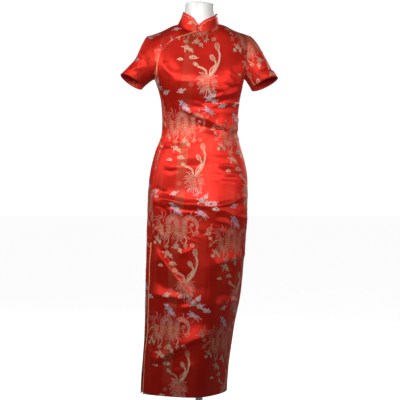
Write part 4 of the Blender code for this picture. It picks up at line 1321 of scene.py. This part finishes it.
def whole_repeat():
    """Every line of one repeat, in millimetres."""
    lines = dragon() + phoenix()
    for x, z, size, turn, leaves in (
            (28, 92, 11, 20, (170, 250)), (40, 80, 8, 0, (-40,)), (16, 104, 7, 20, (150,)),
            (16, 143, 9, 20, (200, 20)), (36, -34, 10, 20, (200, -30)), (50, -46, 7, 20, (-60,)),
            (-38, -14, 8, 20, (150, 60)), (-26, -24, 6, 20, (-80,)), (-46, -28, 6, 50, ()),
            (4, -60, 10, 20, (170, 250)), (18, -68, 7, 20, (-50,)),
            (110, 124, 10, 20, (160, 220)), (122, 138, 8, 20, (60,)),
            (128, 116, 9, 20, (-30, 20)), (108, 84, 9, 20, (175, 120)),
            (122, 76, 9, 20, (-20, -70)), (138, 18, 8, 0, (100, 200)), (146, 2, 6, 20, (-60,))):
        lines += blossom(x, z, size, turn, leaves)
    lines += coin(91, -27, 6.5) + coin(30, -182, 6.5, 20) + coin(-62, 60, 6)
    lines += cloud(-12, -103, 7, -1) + cloud(28, -94, 10)
    lines += blossom(-58, -214, 8, leaves=(30, 150)) + cloud(-50, 128, 8, -1)
    return lines


def on_sheet(sheet, spots, lifts):
    """Places in space of spots on the flat pattern, lifted off the cloth, and which are on it."""
    found = [sheet.tree.find_nearest(Vector((u, v, 0))) for u, v in spots]
    held = np.array([row[2] is not None and row[3] < RIM_SLACK for row in found])
    index = np.array([row[2] or 0 for row in found])
    a, b, c = sheet.flat[index].transpose(1, 0, 2)
    whole, off = crossed(b - a, c - a), spots - a
    second, third = crossed(off, c - a) / whole, crossed(b - a, off) / whole
    shares = np.stack([1 - second - third, second, third], axis=1)[:, :, None]
    corners = sheet.corners[index]
    out = (sheet.normals[corners] * shares).sum(axis=1)
    out /= np.linalg.norm(out, axis=1)[:, None]
    return (sheet.places[corners] * shares).sum(axis=1) + out * lifts[:, None], held


def pattern_at(sheet, view, across, height, face=-1):
    """The flat pattern's spot that is seen at a place, in millimetres across and up."""
    seen = view(sheet.places) * 1000
    apart = np.hypot(seen[:, 0] - across, seen[:, 1] - height)
    apart = apart + np.where(sheet.normals[:, 1] * face > 0, 0, 1000)
    index, corner = np.argwhere(sheet.corners == int(apart.argmin()))[0]
    return sheet.flat[index, corner]


REPEAT_LINES = [(width / 1000, along_curve(points, FLOAT_STEP * 1000) / 1000)
                for width, points in whole_repeat()]


def thread_finish():
    """Floating wefts: their colour goes by height in the repeat, with odd lines in a second one."""
    finish, tree, shader = new_finish("weft_threads")
    spot = add_node(tree, "UVMap", uv_map="Repeat").outputs["UV"]
    place = add_node(tree, "TexCoord").outputs["Object"]
    apart = add_node(tree, "SeparateXYZ", {"Vector": spot})
    share = remap(tree, apart.outputs["Y"], REPEAT_LOW / 1000, REPEAT_HIGH / 1000, 0.0, 1.0)
    ramps = []
    for colours in (THREADS, SECOND_THREADS):
        ramp = add_node(tree, "ValToRGB", {"Fac": share})
        stops = ramp.color_ramp.elements
        stops.remove(stops[1])
        for k, (height, colour) in enumerate(colours):
            spot_on = (height - REPEAT_LOW) / (REPEAT_HIGH - REPEAT_LOW)
            stop = stops[0] if k == 0 else stops.new(spot_on)
            stop.position = spot_on
            stop.color = (*colour, 1.0)
        ramps.append(ramp.outputs["Color"])
    colour = blend(tree, remap(tree, apart.outputs["X"], 0.55, 0.75, 0.0, 1.0), *ramps)
    floats = clouds(tree, place, 1400.0, 1.0)
    sunk = remap(tree, floats, 0.28, 0.52, 0.0, 1.0)
    set_inputs(tree, shader, {
        "Base Color": blend(tree, sunk, (0.30, 0.035, 0.02, 1.0), colour),
        "Normal": relief(tree, floats, 0.6, 0.0003), "Roughness": 0.55, "Metallic": 0.45})
    return finish


SILVER, LILAC, SALMON = (0.54, 0.49, 0.52), (0.35, 0.30, 0.43), (0.50, 0.14, 0.095)
PEACH, CREAM, SAGE = (0.62, 0.27, 0.17), (0.66, 0.43, 0.29), (0.30, 0.29, 0.18)
GOLD, DUSTY = (0.64, 0.31, 0.11), (0.42, 0.20, 0.18)
THREADS = [(-240, SALMON), (-205, SILVER), (-190, SALMON), (-158, SALMON), (-146, CREAM),
           (-60, CREAM), (-46, SAGE), (-22, SAGE), (-8, SALMON), (72, SALMON), (80, LILAC),
           (100, LILAC), (118, SILVER), (150, SILVER)]
SECOND_THREADS = [(-240, PEACH), (-205, SAGE), (-190, PEACH), (-130, PEACH), (-110, SAGE),
                  (-70, SAGE), (-50, PEACH), (-24, CREAM), (0, PEACH), (24, GOLD), (44, DUSTY),
                  (70, PEACH), (82, SILVER), (110, SAGE), (150, PEACH)]
threads = thread_finish()


def weave_in(name, sheet, origins, drop=0.0):
    """The pattern's floats on one sheet: a repeat for each origin, and those on either side."""
    spots, marks, strips = [], [], []
    low, high = sheet.flat.reshape(-1, 2).min(axis=0), sheet.flat.reshape(-1, 2).max(axis=0)
    for number, origin in enumerate(origins):
        for beside in (-2, -1, 0, 1, 2):
            start = np.array(origin) + beside * np.array([REPEAT_ACROSS, -drop])
            for k, (width, points) in enumerate(REPEAT_LINES):
                line = points + start
                if (line.max(axis=0) < low).any() or (line.min(axis=0) > high).any():
                    continue
                taper = np.ones(len(line))
                taper[0] = taper[-1] = 0.4
                strips.append((sum(len(part) for part in spots), len(line)))
                half = directions(line)[1] * (width / 2 * taper)[:, None]
                spots.append(np.stack([line - half, line, line + half], axis=1).reshape(-1, 2))
                odd = (k * 0.37 + number * 0.13) % 1
                marks.append(np.stack([np.full(len(line) * 3, odd),
                                       np.repeat(points[:, 1], 3)], axis=1))
    spots, marks = np.concatenate(spots), np.concatenate(marks)
    lifts = np.tile([FLOAT_EDGE, FLOAT_RISE, FLOAT_EDGE], len(spots) // 3)
    places, held = on_sheet(sheet, spots, lifts)
    faces = []
    for first, number in strips:
        for i in range(number - 1):
            for side in (0, 1):
                a = first + 3 * i + side
                face = (a, a + 3, a + 4, a + 1)
                if held[list(face)].all():
                    faces.append(face)
    used = np.unique(np.array(faces))
    renumber = np.full(len(places), -1)
    renumber[used] = np.arange(len(used))
    mesh = bpy.data.meshes.new(name)
    mesh.from_pydata(places[used].tolist(), [], renumber[np.array(faces)].tolist())
    layer = mesh.uv_layers.new(name="Repeat")
    order = np.empty(len(mesh.loops), dtype=np.int32)
    mesh.loops.foreach_get("vertex_index", order)
    layer.data.foreach_set("uv", marks[used][order].astype(np.float32).ravel())
    piece = new_piece(name, mesh)
    in_edit_mode(piece, bpy.ops.mesh.flip_normals)
    paint(piece, threads)
    belongs(piece, "brocade")


FRONT_SEEN = ((-79, 1024), (-110, 665), (-133, 319))
origins = [pattern_at(sheets["front"], seen_from_front, *seen) for seen in FRONT_SEEN]
top_origin = pattern_at(sheets["front"], seen_from_front, -21, 1278) + np.array([-0.028, 0.094])
up_one = np.array([0, REPEAT])
weave_in("front_pattern", sheets["front"], [top_origin, *origins, origins[-1] - up_one],
         REPEAT_DROP)
on_flap = pattern_at(sheets["flap"], seen_from_front, -90, 1330) + np.array([-0.02, -0.09])
weave_in("flap_pattern", sheets["flap"], [on_flap])
on_back = pattern_at(sheets["back"], seen_flat, 20, 1100, face=1)
weave_in("back_pattern", sheets["back"], [on_back + up_one * k for k in (1, 0, -1, -2, -3)],
         REPEAT_DROP)
for side, seen, shift in (("left", (200, 1288), (-0.03, 0.012)),
                          ("right", (-196, 1262), (0.03, 0.21))):
    on_sleeve = pattern_at(sheets[f"sleeve_{side}"], seen_from_front, *seen) + np.array(shift)
    weave_in(f"sleeve_pattern_{side}", sheets[f"sleeve_{side}"], [on_sleeve])
on_collar = pattern_at(sheets["collar"], seen_from_front, 0, 1372)
weave_in("collar_pattern", sheets["collar"], [on_collar + np.array([-0.005, 0.044])])


# ================================================================ bindings and piping
# Red satin cut on the bias binds the collar's rim. A peach satin cord is sewn inside that binding,
# along the curved opening and down the front's two slit edges.


def sweep(name, rim, profile):
    """A strip or cord along a rim. profile gives (off the rim, out from the cloth) points in
    millimetres, as one closed outline."""
    shape = bmesh.new()
    layer = shape.loops.layers.uv.new("UVMap")
    rings, along, travelled, last = [], [], 0.0, None
    for place, out, off in rim:
        travelled += (place - last).length if last is not None else 0.0
        last = place
        along.append(travelled)
        rings.append([shape.verts.new(place + off * (a / 1000) + out * (b / 1000))
                      for a, b in profile])
    number = len(profile)
    girth = [0.0]
    for k in range(number):
        a, b = profile[k], profile[(k + 1) % number]
        girth.append(girth[-1] + math.hypot(b[0] - a[0], b[1] - a[1]) / 1000)
    for i in range(len(rings) - 1):
        for k in range(number):
            j = (k + 1) % number
            face = shape.faces.new((rings[i][k], rings[i + 1][k], rings[i + 1][j], rings[i][j]))
            for loop, spot in zip(face.loops, ((i, k), (i + 1, k), (i + 1, k + 1), (i, k + 1))):
                loop[layer].uv = (along[spot[0]], girth[spot[1]])
    shape.faces.new(rings[0])
    shape.faces.new(list(reversed(rings[-1])))
    bmesh.ops.recalc_face_normals(shape, faces=shape.faces)
    mesh = bpy.data.meshes.new(name)
    shape.to_mesh(mesh)
    shape.free()
    return new_piece(name, mesh)


def round_profile(radius, off, out):
    """A round cord's outline, with its middle so far off the rim and out."""
    turns = [2 * math.pi * k / 10 for k in range(10)]
    return [(off + radius * math.cos(turn), out + radius * math.sin(turn)) for turn in turns]


def satin_strip(name, dark, light):
    """Plain satin cut on the bias and rolled: slanting fine ribs."""
    finish, tree, shader = new_finish(name)
    flat = add_node(tree, "UVMap", uv_map="UVMap").outputs["UV"]
    slant = add_node(tree, "Mapping", {"Vector": flat, "Rotation": (0, 0, math.radians(45))})
    ribs = add_node(tree, "Group", {"Cloth": slant.outputs["Vector"], "Threads": 1600.0},
                    node_tree=weave).outputs["Height"]
    set_inputs(tree, shader, {
        "Base Color": blend(tree, ribs, dark, light), "Normal": relief(tree, ribs, 0.5, 0.0003),
        "Roughness": 0.4, "Metallic": 0.2})
    return finish


plain_red = satin_strip("plain_red_satin", (0.50, 0.008, 0.006, 1.0), (0.78, 0.020, 0.014, 1.0))
peach = satin_strip("peach_satin", (0.72, 0.22, 0.09, 1.0), (0.95, 0.42, 0.20, 1.0))

binding = sweep("collar_binding", COLLAR_EDGE, [
    (2.0, -0.6), (1.6, 0.7), (0.6, 1.2), (-1.2, 1.2), (-4.4, 0.8), (-5.2, 0.0), (-5.2, -1.5),
    (-4.4, -2.2), (-1.2, -2.5), (0.6, -2.4), (1.6, -1.9)])
round_off(binding, 1)
paint(binding, plain_red)
belongs(binding, "piping", "collar_piping")


def peach_cord(name, rim, profile, *nodes):
    cord = sweep(name, rim, profile)
    paint(cord, peach)
    belongs(cord, "piping", *nodes)


peach_cord("collar_cord", COLLAR_EDGE, round_profile(0.9, -5.9, 0.35))
peach_cord("opening_cord", OPENING_EDGE, round_profile(1.9, 0.9, 0.4), "opening_piping")
for side, edge in SLIT_EDGES.items():
    peach_cord(f"slit_cord_{side}", edge, round_profile(1.7, 1.3, -0.2), f"slit_piping_{side}")


# ================================================================ knot buttons
# Rolled red satin cord: a knotted ball that slips through a loop, each sewn down as a doubled
# cord. One closes the collar, the other the curve of the opening.

UNDER_KNOTS = [BVHTree.FromPolygons([Vector(place) for place in sheets[name].places],
                                    sheets[name].corners.tolist())
               for name in ("front", "collar", "flap")]


def on_the_dress(across, height, lift):
    """A point that far out from the frontmost cloth, as seen from the front."""
    hits = [faces.ray_cast(Vector((across, -1, height)), Vector((0, 1, 0)), 1.1)[:2]
            for faces in UNDER_KNOTS]
    hits = [hit for hit in hits if hit[0] is not None] or [
        UNDER_KNOTS[0].find_nearest(Vector((across, -0.06, height)))[:2]]
    place, normal = min(hits, key=lambda hit: hit[0].y)
    return place + (normal if normal.y < 0 else -normal) * lift


def cord_through(name, path, closed=False):
    """A round cord of rolled satin along a smooth curve through the points."""
    bpy.ops.curve.primitive_bezier_curve_add()
    cord = bpy.context.object
    cord.name = name
    spline = cord.data.splines[0]
    spline.bezier_points.add(len(path) - 2)
    for point, place in zip(spline.bezier_points, path):
        point.co = place
        point.handle_left_type = point.handle_right_type = "AUTO"
    spline.use_cyclic_u = closed
    cord.data.resolution_u = 3
    cord.data.bevel_depth = KNOT_CORD
    cord.data.bevel_resolution = 3
    cord.data.use_fill_caps = not closed
    only(cord)
    bpy.ops.object.convert(target="MESH")
    cord = bpy.context.object
    cord.data.materials.clear()
    paint(cord, knot_satin)
    return cord


def rolled_satin():
    """Red satin rolled into cord, with uneven fine ribs."""
    finish, tree, shader = new_finish("rolled_red_satin")
    ribs = clouds(tree, add_node(tree, "TexCoord").outputs["Object"], 900.0, 2.0)
    set_inputs(tree, shader, {
        "Base Color": blend(tree, ribs, (0.40, 0.006, 0.006, 1.0), (0.74, 0.02, 0.014, 1.0)),
        "Normal": relief(tree, ribs, 0.4, 0.0003), "Roughness": 0.42, "Metallic": 0.25})
    return finish


knot_satin = rolled_satin()
KNOT_CORD = 0.00125
STRAND = 0.0016          # from a doubled cord's middle to each strand
LIFT_AT_KNOT = 0.002     # how much higher a doubled cord lies at its knot


def knot_ball(name, middle, radius):
    """A three-lead ball knot: one cord that winds round and weaves over and under itself."""
    turn = Matrix.Rotation(math.radians(90), 3, "X")
    path = []
    for k in range(72):
        t = 2 * math.pi * k / 72
        around, rise = 3 * t, 0.92 * math.cos(4 * t)
        reach = radius - KNOT_CORD + 0.00035 * math.cos(8 * t + math.pi / 4)
        spot = Vector((math.cos(around) * math.cos(rise), math.sin(around) * math.cos(rise),
                       math.sin(rise)))
        path.append(middle + turn @ (spot * reach))
    ball = cord_through(name, path, closed=True)
    bpy.ops.mesh.primitive_uv_sphere_add(
        segments=20, ring_count=12, radius=radius - 1.4 * KNOT_CORD, location=middle)
    core = bpy.context.object
    bpy.ops.object.transform_apply(location=True, rotation=True, scale=True)
    core.data.materials.append(knot_satin)
    bpy.ops.object.shade_smooth()
    only(ball)
    core.select_set(True)
    bpy.ops.object.join()
    return ball


def hairpin(name, start, way, length):
    """A doubled cord on the cloth, from the knot out to its round end."""
    aside = Vector((-way.y, way.x))
    steps = [(0.0, 1), (0.35, 1), (0.7, 1), (0.93, 0.8), (1.0, 0.0), (0.93, -0.8), (0.7, -1),
             (0.35, -1), (0.0, -1)]
    path = []
    for along, beside in steps:
        spot = start + way * (along * length) + aside * (beside * STRAND)
        lift = KNOT_CORD + 0.0003 + LIFT_AT_KNOT * max(0.0, 1 - along * 1.6)
        path.append(on_the_dress(spot.x, spot.y, lift))
    return cord_through(name, path)


CLOSURES = {
    "collar": {"way": -88, "tail": 0.0195, "loop": 0.0},
    "opening": {"way": -42, "tail": 0.0095, "loop": 0.0095},
}
for name, closure in CLOSURES.items():
    low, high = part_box(f"{name}_knot")
    middle, radius = (low + high) / 2, (high.z - low.z) / 2
    ball = knot_ball(f"{name}_ball", middle, radius)
    belongs(ball, "knot_cord", f"{name}_knot")
    way = Vector(heading_at(closure["way"]))
    start = Vector((middle.x, middle.z))
    tail = hairpin(f"{name}_tail_cord", start + way * radius * 0.7, way, closure["tail"])
    belongs(tail, "knot_cord", f"{name}_tail")
    if closure["loop"]:
        loop = hairpin(f"{name}_loop_cord", start - way * radius * 0.7, -way, closure["loop"])
        belongs(loop, "knot_cord", f"{name}_loop")


low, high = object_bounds()
